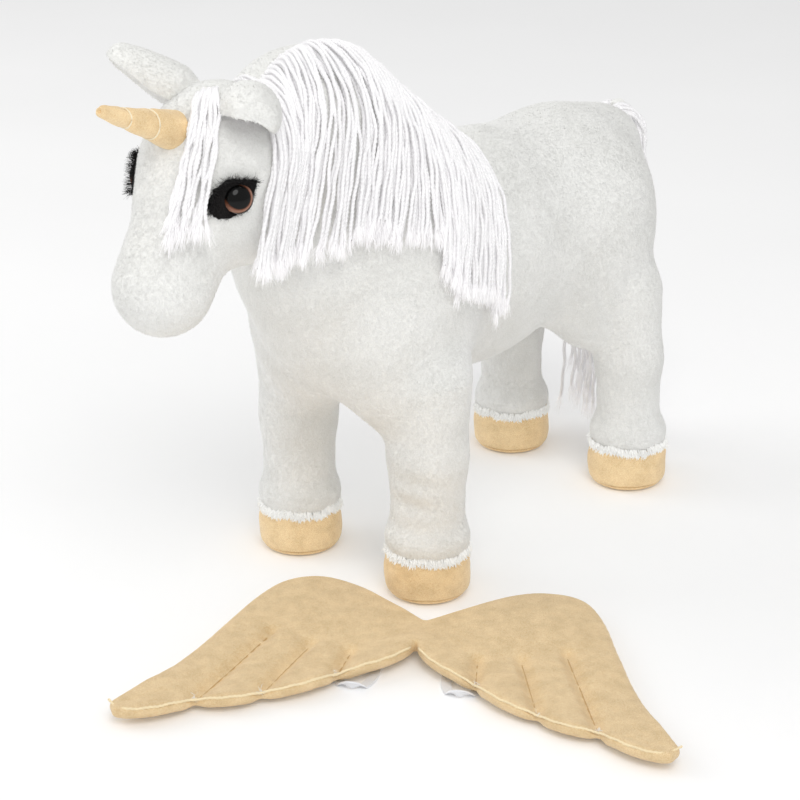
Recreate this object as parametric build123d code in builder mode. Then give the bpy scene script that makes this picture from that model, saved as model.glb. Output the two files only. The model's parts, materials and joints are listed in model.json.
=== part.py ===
"""Plush unicorn with a separate pair of padded wings.

Frame: millimetres, +Z up. The origin is on the floor, midway between the four hooves.
The unicorn looks along -Y, and its own left side is at +X.
Each sewn cover is a thin shell, and the filling inside it is a second solid.
"""

import os
from math import atan2, degrees, hypot

from build123d import *

# Cloth and filling
COVER = 2.0  # thickness of pile fabric with its backing
GAP = 0.6  # air between a cover and its filling, so that no two pieces overlap
OVERCUT = 0.01  # a cutting shape reaches this far past the face that it cuts

# Barrel: ellipses across Y, each (y, centre height, half width, half height)
BARREL = (
    (-200, 240, 26, 28),
    (-186, 237, 45, 50),
    (-160, 231, 60, 71),
    (-120, 225, 68, 83),
    (-60, 220, 66, 83),
    (0, 217, 64, 83),
    (60, 221, 66, 79),
    (110, 225, 66, 75),
    (145, 229, 57, 64),
    (165, 234, 42, 48),
    (177, 239, 20, 26),
)

# Neck: circles across a leaning axis, each (y, height, radius)
NECK = ((-104, 258, 68), (-140, 292, 67), (-180, 331, 59), (-206, 355, 47), (-222, 366, 30))
NECK_AXIS = (0, -0.719, 0.695)

# Head: ellipses across a leaning axis, each (y, height, half width, half depth)
HEAD = (
    (-246, 383, 22, 20),
    (-254, 364, 41, 35),
    (-270, 336, 47, 41),
    (-288, 308, 38.5, 37),
    (-303, 282, 33, 33),
    (-313, 262, 29, 29),
    (-320, 245, 15, 15),
)
HEAD_AXIS = (0, -0.507, -0.862)
HEAD_PIVOT = (0, -248, 340)
SOCKET_R = 51.5  # hollow in the neck's front that the head turns in
WAD_R = 16.0  # ball of filling at the pivot
CHIN_BACK, CHIN_DROP = 36.0, 20.0  # how far the cheeks' room reaches behind and stays below the pivot
CHIN_ROOM = (200.0, 120.0, 160.0)

# Legs and hooves
FRONT_X, FRONT_Y = 61.5, -127.0
REAR_X, REAR_Y = 58.0, 127.0
HIP_Z = 165.0
HIP_R = 29.0
FRONT_LEG_R = 26.0
REAR_LEG_R = 24.5
FETLOCK_R = 29.0
FETLOCK_Z = 46.0
COLLAR_STEP = 1.0  # how much narrower the leg is at the hoof's top than at the fetlock
SHAFT_UP, SHAFT_DOWN = 22.0, 40.0  # the leg's straight part starts over the fetlock, ends under the hip
HOOF_R = 31.0
HOOF_H = 33.0
HOOF_FILLET = 3.0
SOLE_T = 2.0
SOLE_INSET = 2.0
SWING_ROOM = 8.0  # extra radius cut from the barrel round each leg, for its swing

# Horn
HORN_BASE = (0, -303.5, 364.5)
HORN_AXIS = (0, -0.93, 0.37)
HORN_LEN = 62.0
HORN_BASE_R = 12.5
HORN_TIP_R = 4.0
HORN_WALL = 1.2
THREAD_R = 0.6
RING_AT = (20.0, 40.0)  # where the wound thread rings sit along the horn

# Eyes
EYE_X, EYE_Y, EYE_Z = 46.5, -291.0, 326.0
EYE_AXIS = (0.94, -0.31, 0.14)
EYE_R = 9.5
EYE_H = 6.5
EYE_FILLET = 5.5
SHANK_R = 2.2
SHANK_LEN = 13.0
SHANK_FIT = 0.05  # the washer's hole is this much wider in radius
WASHER_R = 7.0
WASHER_T = 1.5
PATCH_RX, PATCH_RY = 15.0, 12.0
PATCH_T = 1.2
LASH_W, LASH_T = 4.0, 1.2
LASH_FROM = 2.0  # the lash strip stays this far above the eye's middle
SEAT_DEPTH = 20.0  # cut outwards from the seats, to clear the plush

# Ears
EAR_BASE = (32.0, -264.0, 380.0)
EAR_AXIS = (0.82, -0.45, 0.30)
EAR_OPEN = (0.30, -0.65, -0.65)  # where the lined cup looks
EAR_LEN = 46.0
EAR_W = 28.0
LEAF_FOOT, LEAF_WIDEST = 0.3, 0.42  # half width at the foot over the width, and widest place over the length
EAR_SEAM = 8.0  # width and length that the lining is smaller by
EAR_T = 3.0
LINING_T = 1.2

# Mane and forelock
HAIR_IN, HAIR_OUT = 3.0, 10.0  # how far a cord layer stands off the cover, inside and outside
HAIR_FLAP, HAIR_ROOM = 16.0, 10.0  # how far the mane and the room under it reach behind the neck's rim
HAIR_W = 90.0  # cut limit beside the neck
MANE_OUTLINE = (
    (-205, 386), (-168, 396), (-130, 376), (-88, 345), (-48, 309),
    (-78, 222), (-120, 236), (-168, 266), (-205, 268), (-212, 330),
)
MANE_TAPE = ((-50, 313), (-88, 346), (-133.5, 379.5), (-167, 395.5), (-199, 390))
TAPE_W, TAPE_T = 6.0, 1.6
FORELOCK_X0, FORELOCK_X1 = 14.5, 29.0
FORELOCK_Y = -266.0
FORELOCK_Z0, FORELOCK_Z1 = 300.0, 376.0
FORELOCK_OUT = 8.0

# Tail
TAIL_ROOT = (0, 176.5, 286.0)
DOCK_R, DOCK_LEN = 5.0, 9.0
TAIL = (
    (282, 190.5, 8, 4),
    (255, 193, 13, 5),
    (200, 195, 19, 6),
    (140, 191, 21, 6),
    (80, 179, 20, 6),
    (20, 170, 13, 5),
)  # ellipses across Z, each (height, y, half width, half thickness)

# Wings: outline points in the wings' own plane, t outwards and c towards the trailing edge
WING_O = (112.0, -195.0)
WING_OUT = (0.857, 0.515)
WING_LEAD = ((0, -19), (35, -50), (75, -75), (113, -62), (138, 2), (166, 85), (182, 131))
WING_TIP = (178, 141)
WING_NOTCH = ((130, 113), (90, 98), (46, 66), (0, 22))
WING_SEAM = ((100, 14), (71, 27), (43, 33))  # inner ends of the stitches from the first three notches
SCALLOP = 5.0  # how far each feather end bulges past the chord between two notches
WING_Z = 2.0  # the wings lie on their own elastic loops
SHEET_T = 1.2
PAD_T = 7.5
PAD_SCALE = 0.95  # the padding is a little smaller than the sheets sewn round it
BRIDGE_T = 8.0  # half width of the middle piece, out to the fold lines
FOLD_GAP = 0.4
CUTTER = 500.0  # larger than the wings
STITCH_R = 0.4
STITCH_END = 4.0  # each line of stitches stops this far from its notch
STRAP_AT = (36, 44)
STRAP_RX, STRAP_RY = 15.0, 28.0
STRAP_W, STRAP_T = 6.0, 1.4

SIDES = (("left", 1), ("right", -1))


def save(piece, name):
    """Label a finished piece and write it to its own file."""
    piece.part.label = name
    export_step(piece.part, f"parts/{name}.step")


def barrel(grow):
    """The barrel's outer shape, with every half size changed by grow."""
    with BuildPart() as shape:
        for y, z, half_w, half_h in BARREL:
            with BuildSketch(Plane((0, y, z), x_dir=(1, 0, 0), z_dir=(0, 1, 0))):
                Ellipse(half_w + grow, half_h + grow)
        loft()
    return shape.part


def neck(grow):
    """The neck's outer shape, with every radius changed by grow."""
    with BuildPart() as shape:
        for y, z, radius in NECK:
            with BuildSketch(Plane((0, y, z), x_dir=(1, 0, 0), z_dir=NECK_AXIS)):
                Circle(radius + grow)
        loft()
    return shape.part


def skull(grow):
    """The head's outer shape, with every half size changed by grow."""
    with BuildPart() as shape:
        for y, z, half_w, half_d in HEAD:
            with BuildSketch(Plane((0, y, z), x_dir=(1, 0, 0), z_dir=HEAD_AXIS)):
                Ellipse(half_w + grow, half_d + grow)
        loft()
    return shape.part


def leg_room(grow):
    """Space that the four leg tops swing in, to be cut from the barrel."""
    with BuildPart() as room:
        for x, y in ((FRONT_X, FRONT_Y), (REAR_X, REAR_Y)):
            with Locations((x, y, HIP_Z), (-x, y, HIP_Z)):
                Sphere(HIP_R + GAP + grow)
            with Locations((x, y, HIP_Z), (-x, y, HIP_Z)):
                Cylinder(HIP_R + SWING_ROOM + grow, HIP_Z, align=(Align.CENTER, Align.CENTER, Align.MAX))
    return room.part


def head_room(grow):
    """Space that the head turns and nods in, to be cut from the neck."""
    px, py, pz = HEAD_PIVOT
    with BuildPart() as room:
        with Locations(HEAD_PIVOT):
            Sphere(SOCKET_R + grow)
        with Locations((0, py + CHIN_BACK + grow, pz - CHIN_DROP + grow)):
            Box(*CHIN_ROOM, align=(Align.CENTER, Align.MAX, Align.MAX))
    return room.part


def eye_plane(side, out=0.0):
    """Plane of one eye's seat, moved outwards along the eye's axis."""
    ax, ay, az = EYE_AXIS
    origin = (side * (EYE_X + ax * out), EYE_Y + ay * out, EYE_Z + az * out)
    return Plane(origin, x_dir=(-ay, side * ax, 0), z_dir=(side * ax, ay, az))


def eye_holes(radius, depth):
    """Cylinders through the eye seats: radius all the way in, and a flat seat outside."""
    with BuildPart() as holes:
        for _, side in SIDES:
            with BuildSketch(eye_plane(side)):
                Circle(radius)
            extrude(amount=-depth)
            with BuildSketch(eye_plane(side)):
                Circle(PATCH_RX + GAP)
            extrude(amount=SEAT_DEPTH)
    return holes.part


def make_body():
    """Barrel and neck: covers as shells, with their filling."""
    with BuildPart() as trunk_cover:
        add(barrel(0))
        add(barrel(-COVER), mode=Mode.SUBTRACT)
        add(leg_room(0), mode=Mode.SUBTRACT)
    save(trunk_cover, "trunk_cover")

    with BuildPart() as trunk_stuffing:
        add(barrel(-COVER - GAP))
        add(leg_room(GAP), mode=Mode.SUBTRACT)
    save(trunk_stuffing, "trunk_stuffing")

    with BuildPart() as neck_cover:
        add(neck(0))
        add(neck(-COVER), mode=Mode.SUBTRACT)
        add(barrel(GAP), mode=Mode.SUBTRACT)
        add(head_room(0), mode=Mode.SUBTRACT)
    save(neck_cover, "neck_cover")

    with BuildPart() as neck_stuffing:
        add(neck(-COVER - GAP))
        add(barrel(GAP), mode=Mode.SUBTRACT)
        add(head_room(GAP), mode=Mode.SUBTRACT)
    save(neck_stuffing, "neck_stuffing")


def leg_profile(leg_r, inset, top):
    """Half outline of a leg from the hoof to the hip ball, drawn in X and Z."""
    ball = HIP_R - inset
    with BuildSketch(Plane.XZ) as profile:
        with BuildLine():
            Line((0, HOOF_H + top), (FETLOCK_R - COLLAR_STEP - inset, HOOF_H + top))
            Spline(
                (FETLOCK_R - COLLAR_STEP - inset, HOOF_H + top),
                (FETLOCK_R - inset, FETLOCK_Z),
                (leg_r - inset, FETLOCK_Z + SHAFT_UP),
                (leg_r - inset, HIP_Z - SHAFT_DOWN),
                (ball, HIP_Z),
            )
            RadiusArc((ball, HIP_Z), (0, HIP_Z + ball), -ball)
            Line((0, HIP_Z + ball), (0, HOOF_H + top))
        make_face()
    return profile.sketch


def make_leg(name, x, y, leg_r):
    """One leg with its hoof: cover, filling, hoof wall, sole and hoof filling."""
    at = Location((x, y, 0))
    with BuildPart() as cover:
        with BuildSketch(Plane.XZ):
            add(leg_profile(leg_r, 0, 0))
            add(leg_profile(leg_r, COVER, -OVERCUT), mode=Mode.SUBTRACT)
        revolve(axis=Axis.Z)
    cover.part = cover.part.moved(at)
    save(cover, f"leg_{name}_cover")

    with BuildPart() as stuffing:
        with BuildSketch(Plane.XZ):
            add(leg_profile(leg_r, COVER + GAP, GAP))
        revolve(axis=Axis.Z)
    stuffing.part = stuffing.part.moved(at)
    save(stuffing, f"leg_{name}_stuffing")

    with BuildPart() as wall:
        with BuildSketch(Plane((x, y, SOLE_T), z_dir=(0, 0, 1))):
            Circle(HOOF_R)
        extrude(amount=HOOF_H - SOLE_T)
        fillet(wall.edges().group_by(Axis.Z)[0], HOOF_FILLET)
        with BuildSketch(Plane((x, y, SOLE_T), z_dir=(0, 0, 1))):
            Circle(HOOF_R - COVER)
        extrude(amount=HOOF_H - SOLE_T, mode=Mode.SUBTRACT)
    save(wall, f"hoof_{name}_wall")

    with BuildPart() as sole:
        with BuildSketch(Plane((x, y, 0), z_dir=(0, 0, 1))):
            Circle(HOOF_R - SOLE_INSET)
        extrude(amount=SOLE_T)
    save(sole, f"hoof_{name}_sole")

    with BuildPart() as padding:
        with BuildSketch(Plane((x, y, SOLE_T + GAP), z_dir=(0, 0, 1))):
            Circle(HOOF_R - COVER - GAP)
        extrude(amount=HOOF_H - SOLE_T - 2 * GAP)
    save(padding, f"hoof_{name}_padding")


def make_head():
    """Head cover and filling, with the wad of filling that the head turns on."""
    with BuildPart() as head_cover:
        add(skull(0))
        add(skull(-COVER), mode=Mode.SUBTRACT)
        add(eye_holes(SHANK_R + GAP, SHANK_LEN - GAP), mode=Mode.SUBTRACT)
    save(head_cover, "head_cover")

    with BuildPart() as head_stuffing:
        add(skull(-COVER - GAP))
        with Locations(HEAD_PIVOT):
            Sphere(WAD_R + GAP, mode=Mode.SUBTRACT)
        add(eye_holes(WASHER_R + GAP, SHANK_LEN + GAP), mode=Mode.SUBTRACT)
    save(head_stuffing, "head_stuffing")

    with BuildPart() as neck_wad:
        with Locations(HEAD_PIVOT):
            Sphere(WAD_R)
    save(neck_wad, "neck_wad")


def make_eye(name, side):
    """One safety eye: dome on a shank, locking washer, backing patch and lash strip."""
    with BuildPart() as eye:
        with BuildSketch(eye_plane(side, PATCH_T + GAP / 2)):
            Circle(EYE_R)
        extrude(amount=EYE_H)
        outwards = Axis((0, 0, 0), (side * EYE_AXIS[0], EYE_AXIS[1], EYE_AXIS[2]))
        fillet(eye.edges().group_by(outwards)[-1], EYE_FILLET)
        with BuildSketch(eye_plane(side, PATCH_T + GAP / 2)):
            Circle(SHANK_R)
        extrude(amount=-SHANK_LEN)
    save(eye, f"eye_{name}")

    with BuildPart() as washer:
        with BuildSketch(eye_plane(side, -SHANK_LEN + GAP)):
            Circle(WASHER_R)
            Circle(SHANK_R + SHANK_FIT, mode=Mode.SUBTRACT)
        extrude(amount=WASHER_T)
    save(washer, f"eye_{name}_washer")

    with BuildPart() as patch:
        with BuildSketch(eye_plane(side, GAP / 4)):
            Ellipse(PATCH_RX, PATCH_RY)
            Circle(SHANK_R + GAP / 2, mode=Mode.SUBTRACT)
        extrude(amount=PATCH_T)
    save(patch, f"eye_{name}_patch")

    with BuildPart() as lashes:
        with BuildSketch(eye_plane(side, PATCH_T + GAP)):
            Circle(EYE_R + LASH_W)
            Circle(EYE_R + GAP, mode=Mode.SUBTRACT)
            with Locations((0, LASH_FROM)):
                Rectangle(4 * EYE_R, 4 * EYE_R, align=(Align.CENTER, Align.MAX), mode=Mode.SUBTRACT)
        extrude(amount=LASH_T)
    save(lashes, f"eye_{name}_lashes")


def make_horn():
    """Horn: sewn cone with a blunt tip, its filling, and two rings of wound thread."""
    plane = Plane(HORN_BASE, x_dir=(1, 0, 0), z_dir=HORN_AXIS)
    slope = (HORN_BASE_R - HORN_TIP_R) / HORN_LEN
    with BuildPart() as cover:
        with BuildSketch(plane):
            Circle(HORN_BASE_R)
        with BuildSketch(plane.offset(HORN_LEN)):
            Circle(HORN_TIP_R)
        loft()
        with BuildSketch(plane.offset(-HORN_WALL)):
            Circle(HORN_BASE_R - HORN_WALL)
        with BuildSketch(plane.offset(HORN_LEN - HORN_WALL)):
            Circle(HORN_TIP_R - HORN_WALL)
        loft(mode=Mode.SUBTRACT)
        add(skull(GAP), mode=Mode.SUBTRACT)
    save(cover, "horn_cover")

    with BuildPart() as stuffing:
        with BuildSketch(plane):
            Circle(HORN_BASE_R - HORN_WALL - GAP)
        with BuildSketch(plane.offset(HORN_LEN - HORN_WALL - GAP)):
            Circle(HORN_TIP_R - HORN_WALL - GAP)
        loft()
        add(skull(GAP), mode=Mode.SUBTRACT)
    save(stuffing, "horn_stuffing")

    with BuildPart() as thread:
        for along in RING_AT:
            ring = plane.offset(along)
            with Locations(ring):
                Torus(HORN_BASE_R - slope * along + 2 * THREAD_R, THREAD_R)
    save(thread, "horn_thread")


def leaf(width, length):
    """Leaf outline of an ear, growing along local Y from a straight base."""
    with BuildSketch() as outline:
        with BuildLine():
            Spline((-width * LEAF_FOOT, 0), (-width / 2, length * LEAF_WIDEST), (0, length))
            Spline((0, length), (width / 2, length * LEAF_WIDEST), (width * LEAF_FOOT, 0))
            Line((width * LEAF_FOOT, 0), (-width * LEAF_FOOT, 0))
        make_face()
    return outline.sketch


def make_ear(name, side):
    """One ear: outer panel and a smaller lining in front of it."""
    base = (side * EAR_BASE[0], EAR_BASE[1], EAR_BASE[2])
    along = Vector(side * EAR_AXIS[0], EAR_AXIS[1], EAR_AXIS[2]).normalized()
    opening = Vector(side * EAR_OPEN[0], EAR_OPEN[1], EAR_OPEN[2])
    opening = (opening - along * opening.dot(along)).normalized()
    plane = Plane(base, x_dir=opening.cross(along), z_dir=-opening)
    with BuildPart() as outer:
        with BuildSketch(plane):
            add(leaf(EAR_W, EAR_LEN))
        extrude(amount=EAR_T)
    save(outer, f"ear_{name}_outer")

    with BuildPart() as lining:
        with BuildSketch(plane.offset(-GAP / 2)):
            add(leaf(EAR_W - EAR_SEAM, EAR_LEN - EAR_SEAM))
        extrude(amount=-LINING_T)
    save(lining, f"ear_{name}_lining")


def make_hair():
    """Mane tape and cords on the left of the neck, and the forelock beside the horn."""
    with BuildPart() as tape:
        with BuildLine():
            path = Spline([(0, y, z) for y, z in MANE_TAPE])
        with BuildSketch(Plane(path @ 0, x_dir=(1, 0, 0), z_dir=path % 0)):
            Rectangle(TAPE_W, TAPE_T)
        sweep()
    save(tape, "mane_tape")

    rim_y, rim_z, rim_r = NECK[0]
    rim = Plane((0, rim_y, rim_z), x_dir=(1, 0, 0), z_dir=NECK_AXIS)
    with BuildPart() as mane:
        add(neck(HAIR_OUT))
        add(barrel(HAIR_OUT))
        with BuildSketch(rim):
            Circle(rim_r + HAIR_OUT)
        extrude(amount=-HAIR_FLAP)
        add(neck(HAIR_IN), mode=Mode.SUBTRACT)
        add(barrel(HAIR_IN), mode=Mode.SUBTRACT)
        with BuildSketch(rim):
            Circle(rim_r + HAIR_IN)
        extrude(amount=-HAIR_ROOM, mode=Mode.SUBTRACT)
        add(head_room(COVER), mode=Mode.SUBTRACT)
        with BuildSketch(Plane.YZ.offset(TAPE_W)):
            Polygon(*MANE_OUTLINE, align=None)
        extrude(amount=HAIR_W, mode=Mode.INTERSECT)
    save(mane, "mane_cords")

    with BuildPart() as forelock:
        add(skull(FORELOCK_OUT))
        add(skull(HAIR_IN), mode=Mode.SUBTRACT)
        width = FORELOCK_X1 - FORELOCK_X0
        height = FORELOCK_Z1 - FORELOCK_Z0
        with Locations((FORELOCK_X0, FORELOCK_Y, FORELOCK_Z0)):
            Box(width, HAIR_W, height, align=(Align.MIN, Align.MAX, Align.MIN), mode=Mode.INTERSECT)
    save(forelock, "forelock_cords")


def make_tail():
    """Tail: a rolled fabric tab sewn to the rump, and the hanging cords."""
    with BuildPart() as dock:
        with BuildSketch(Plane(TAIL_ROOT, x_dir=(1, 0, 0), z_dir=(0, 1, 0))):
            Circle(DOCK_R)
        extrude(amount=DOCK_LEN)
    save(dock, "tail_dock")

    with BuildPart() as cords:
        for z, y, half_w, half_t in TAIL:
            with BuildSketch(Plane.XY.offset(z)):
                with Locations((0, y)):
                    Ellipse(half_w, half_t)
        loft()
    save(cords, "tail_cords")


def wing_plane(z):
    """The wings' own plane: local X outwards along the left wing, local -Y to the trailing edge."""
    return Plane((WING_O[0], WING_O[1], z), x_dir=(WING_OUT[0], WING_OUT[1], 0), z_dir=(0, 0, 1))


def wing_face(side, size):
    """One wing's outline with a smooth leading edge and scalloped trailing edge."""
    lead = [(side * t * size, -c * size) for t, c in WING_LEAD]
    tip = (side * WING_TIP[0] * size, -WING_TIP[1] * size)
    notches = [(side * t * size, -c * size) for t, c in WING_NOTCH]
    with BuildSketch() as face:
        with BuildLine():
            Spline(*lead)
            Line(lead[-1], tip)
            start = tip
            for notch in notches:
                SagittaArc(start, notch, side * SCALLOP)
                start = notch
            Line(notches[-1], lead[0])
        make_face()
    return face.sketch


def wing_strip(keep, side):
    """Cutter for the middle piece, or for the wing outside its fold line."""
    edge = BRIDGE_T + (FOLD_GAP / 2 if keep == "wing" else -FOLD_GAP / 2)
    with BuildSketch() as strip:
        if keep == "wing":
            with Locations((side * (edge + CUTTER / 2), 0)):
                Rectangle(CUTTER, CUTTER)
        else:
            Rectangle(2 * edge, CUTTER)
    return strip.sketch


def wing_layer(name, side, z, thickness, size):
    """One layer of one wing, outside its fold line."""
    with BuildPart() as layer:
        with BuildSketch(wing_plane(z)):
            add(wing_face(side, size))
            add(wing_strip("wing", side), mode=Mode.INTERSECT)
        extrude(amount=thickness)
    save(layer, name)


def make_wing(name, side):
    """One wing: bottom sheet, padding, top sheet, channel stitching and elastic loop."""
    pad_z = WING_Z + SHEET_T + GAP / 2
    top_z = pad_z + PAD_T + GAP / 2
    wing_layer(f"wing_{name}_bottom", side, WING_Z, SHEET_T, 1)
    wing_layer(f"wing_{name}_padding", side, pad_z, PAD_T, PAD_SCALE)
    wing_layer(f"wing_{name}_top", side, top_z, SHEET_T, 1)

    with BuildPart() as stitching:
        stitch_z = top_z + SHEET_T + GAP / 2
        for (t0, c0), (t1, c1) in zip(WING_NOTCH, WING_SEAM):
            dx, dy = side * (t1 - t0), c0 - c1
            middle = (side * (t0 + t1) / 2, -(c0 + c1) / 2, 0)
            with BuildSketch(wing_plane(stitch_z)):
                with Locations(Location(middle, degrees(atan2(-dx, dy)))):
                    Rectangle(2 * STITCH_R, hypot(dx, dy) - 2 * STITCH_END)
            extrude(amount=2 * STITCH_R)
    save(stitching, f"wing_{name}_stitching")

    with BuildPart() as strap:
        with BuildSketch(wing_plane(WING_Z - STRAP_T - GAP / 2)):
            with Locations((side * STRAP_AT[0], -STRAP_AT[1])):
                Ellipse(STRAP_RX, STRAP_RY)
                Ellipse(STRAP_RX - STRAP_W, STRAP_RY - STRAP_W, mode=Mode.SUBTRACT)
        extrude(amount=STRAP_T)
    save(strap, f"wing_{name}_strap")


def make_bridge():
    """The middle of the wings, where both sheets run across from one wing to the other."""
    pad_z = WING_Z + SHEET_T + GAP / 2
    top_z = pad_z + PAD_T + GAP / 2
    layers = (("bottom", WING_Z, SHEET_T, 1), ("padding", pad_z, PAD_T, PAD_SCALE), ("top", top_z, SHEET_T, 1))
    for name, z, thickness, size in layers:
        with BuildPart() as layer:
            with BuildSketch(wing_plane(z)):
                for _, side in SIDES:
                    add(wing_face(side, size))
                add(wing_strip("bridge", 1), mode=Mode.INTERSECT)
            extrude(amount=thickness)
        save(layer, f"wing_bridge_{name}")


def main():
    """Build and write every piece."""
    os.makedirs("parts", exist_ok=True)
    make_body()
    for name, side in SIDES:
        make_leg(f"front_{name}", side * FRONT_X, FRONT_Y, FRONT_LEG_R)
        make_leg(f"rear_{name}", side * REAR_X, REAR_Y, REAR_LEG_R)
    make_head()
    for name, side in SIDES:
        make_eye(name, side)
        make_ear(name, side)
    make_horn()
    make_hair()
    make_tail()
    make_bridge()
    for name, side in SIDES:
        make_wing(name, side)


main()
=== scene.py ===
"""Looks of the plush unicorn with loose wings: sewn skins, pile, cords, cloth and light.

Lengths inside this script are millimetres. A mesh is scaled to metres when it is made.
The unicorn looks along -Y and its own left side is at +X.
"""

import json
import math

import bpy
import numpy as np
import openvdb
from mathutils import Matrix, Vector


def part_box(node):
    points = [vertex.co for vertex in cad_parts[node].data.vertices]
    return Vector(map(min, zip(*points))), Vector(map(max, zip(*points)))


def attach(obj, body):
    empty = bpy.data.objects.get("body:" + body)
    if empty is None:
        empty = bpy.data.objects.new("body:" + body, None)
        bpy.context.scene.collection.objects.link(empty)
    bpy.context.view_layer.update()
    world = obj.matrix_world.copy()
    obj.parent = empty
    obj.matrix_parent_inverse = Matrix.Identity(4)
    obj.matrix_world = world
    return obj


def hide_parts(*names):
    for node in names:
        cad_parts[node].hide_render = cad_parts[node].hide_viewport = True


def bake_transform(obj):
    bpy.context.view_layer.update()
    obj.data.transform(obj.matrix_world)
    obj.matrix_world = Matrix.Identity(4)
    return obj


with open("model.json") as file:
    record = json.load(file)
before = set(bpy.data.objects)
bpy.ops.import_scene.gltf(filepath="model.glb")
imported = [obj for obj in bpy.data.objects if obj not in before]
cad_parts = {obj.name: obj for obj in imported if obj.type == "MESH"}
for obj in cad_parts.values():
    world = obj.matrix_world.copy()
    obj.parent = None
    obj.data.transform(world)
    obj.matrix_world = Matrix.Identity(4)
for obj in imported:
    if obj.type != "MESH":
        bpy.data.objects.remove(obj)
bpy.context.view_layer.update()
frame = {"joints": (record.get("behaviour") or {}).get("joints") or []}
MM = 0.001
TAU = 2 * math.pi
UP = np.array([0, 0, 1.0])
rng = np.random.default_rng(7)
SIDES = (("left", 1.0), ("right", -1.0))
SIGN = dict(SIDES)
JOINT = {j["name"]: j for j in frame["joints"]}

# ---------------------------------------------------------------- places, from the frame


def corners(node):
    """Lowest and highest corner of a CAD node, in millimetres."""
    low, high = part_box(node)
    return np.array(low) / MM, np.array(high) / MM


def middle(node):
    """Centre of a CAD node's box."""
    low, high = corners(node)
    return (low + high) / 2


def pivot(joint):
    """A joint's point."""
    return np.array(JOINT[joint]["pos_m"], float) / MM


FX, FY, HZ = pivot("leg_front_left_swing")
RX, RY = pivot("leg_rear_left_swing")[:2]
PY, PZ = pivot("head_turn")[1:]
HOOF_LOW, HOOF_HIGH = corners("hoof_front_left_wall")
HOOF_TOP, HOOF_R = HOOF_HIGH[2], (HOOF_HIGH[0] - HOOF_LOW[0]) / 2

# ---------------------------------------------------------------- small helpers


def unit(v):
    """The vector at length one."""
    v = np.asarray(v, float)
    return v / np.linalg.norm(v, axis=-1, keepdims=True)


def columns(*parts):
    """One array with each part as a column. A part is an array or one value."""
    return np.stack(np.broadcast_arrays(*parts), -1)


def circle(count):
    """Even angles once round."""
    return np.arange(count) / count * TAU


def cross_grid(rows, across):
    """Two grids: a value for each row, and a value for each column."""
    return np.meshgrid(rows, across, indexing="ij")


def walk(points, places):
    """Places along a polyline. places gives how far along they are, from the whole length."""
    far = np.concatenate([[0], np.cumsum(np.linalg.norm(np.diff(points, axis=0), axis=1))])
    return columns(*[np.interp(places(far[-1]), far, axis) for axis in points.T])


# ---------------------------------------------------------------- distance fields


def ball(p, centre, radii, pitch=0.0):
    """Distance to an ellipsoid, tipped about X by pitch degrees."""
    q = p - np.asarray(centre, float)
    if pitch:
        c, s = math.cos(math.radians(pitch)), math.sin(math.radians(pitch))
        q = columns(q[:, 0], q[:, 1] * c + q[:, 2] * s, -q[:, 1] * s + q[:, 2] * c)
    r = np.asarray(radii, float)
    k0 = np.linalg.norm(q / r, axis=1)
    k1 = np.linalg.norm(q / (r * r), axis=1)
    return k0 * (k0 - 1) / np.maximum(k1, 1e-9)


def limb(p, a, b, ra, rb):
    """Distance to a round-ended cone from a to b."""
    a, b = np.asarray(a, float), np.asarray(b, float)
    h = np.clip((p - a) @ (b - a) / ((b - a) @ (b - a)), 0, 1)
    return np.linalg.norm(p - a - h[:, None] * (b - a), axis=1) - (ra + (rb - ra) * h)


def join(a, b, soft):
    """Union of two fields with a soft seam."""
    h = np.clip(0.5 + 0.5 * (b - a) / soft, 0, 1)
    return b + (a - b) * h - soft * h * (1 - h)


def bump(p, centre, size):
    """A smooth hump from 0 to 1 round a centre, with a size along each axis."""
    q = (p - np.asarray(centre, float)) / np.asarray(size, float)
    return np.exp(-(q * q).sum(1))


def leg_field(p, x, y, top_r, r, side, lean=0.0):
    """One leg from the body down into its hoof, with its top leaning forwards."""
    fx = x * side
    knee = (fx, y - 0.6 * lean, 105)
    d = limb(p, (fx * 0.95, y - lean, HZ - 5), knee, top_r, r)
    d = join(d, limb(p, knee, (fx, y, 40), r, r - 0.6), 10)
    return join(d, ball(p, (fx, y, HOOF_TOP + 10), (HOOF_R - 1.3, HOOF_R - 1.3, 19)), 8)


def head_field(p):
    """The head alone: round skull, cheeks and long soft muzzle."""
    d = ball(p, (0, PY - 14, PZ + 3), (45, 42, 44))
    d = join(d, ball(p, (0, PY - 31, PZ - 14), (44, 36, 38), -25), 20)
    d = join(d, limb(p, (0, PY - 46, PZ - 40), (0, PY - 68, PZ - 74), 33, 32), 18)
    for _, s in SIDES:
        d = join(d, ball(p, (s * 18, PY - 14, PZ - 40), (23, 30, 28), -25), 16)
    for name, _ in SIDES:
        d += 1.6 * bump(p, middle("eye_" + name), (14, 15, 13))
    return d


def body_field(p):
    """The whole sewn body."""
    d = ball(p, (0, FY + 9, 224), (70, 96, 88))
    d = join(d, ball(p, (0, -10, 217), (65, 125, 88)), 30)
    d = join(d, ball(p, (0, RY - 29, 223), (70, 87, 79)), 30)
    d = join(d, ball(p, (0, RY + 30, 268), (26, 26, 20)), 24)
    d = join(d, ball(p, (0, FY - 45, 255), (56, 60, 50)), 26)
    for _, s in SIDES:
        d = join(d, ball(p, (s * 40, FY - 1, 190), (39, 54, 72)), 22)
        d = join(d, ball(p, (s * 33, RY - 23, 192), (40, 51, 78)), 22)
    d = join(d, limb(p, (0, FY + 5, 277), (0, PY + 68, PZ - 5), 69, 60), 34)
    d = join(d, head_field(p), 14)
    for _, s in SIDES:
        d = join(d, leg_field(p, FX, FY, 33, 26.5, s), 12)
        d = join(d, leg_field(p, RX, RY, 27, 24.5, s, 5.0), 14)
    return d + wrinkles(p)


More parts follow.
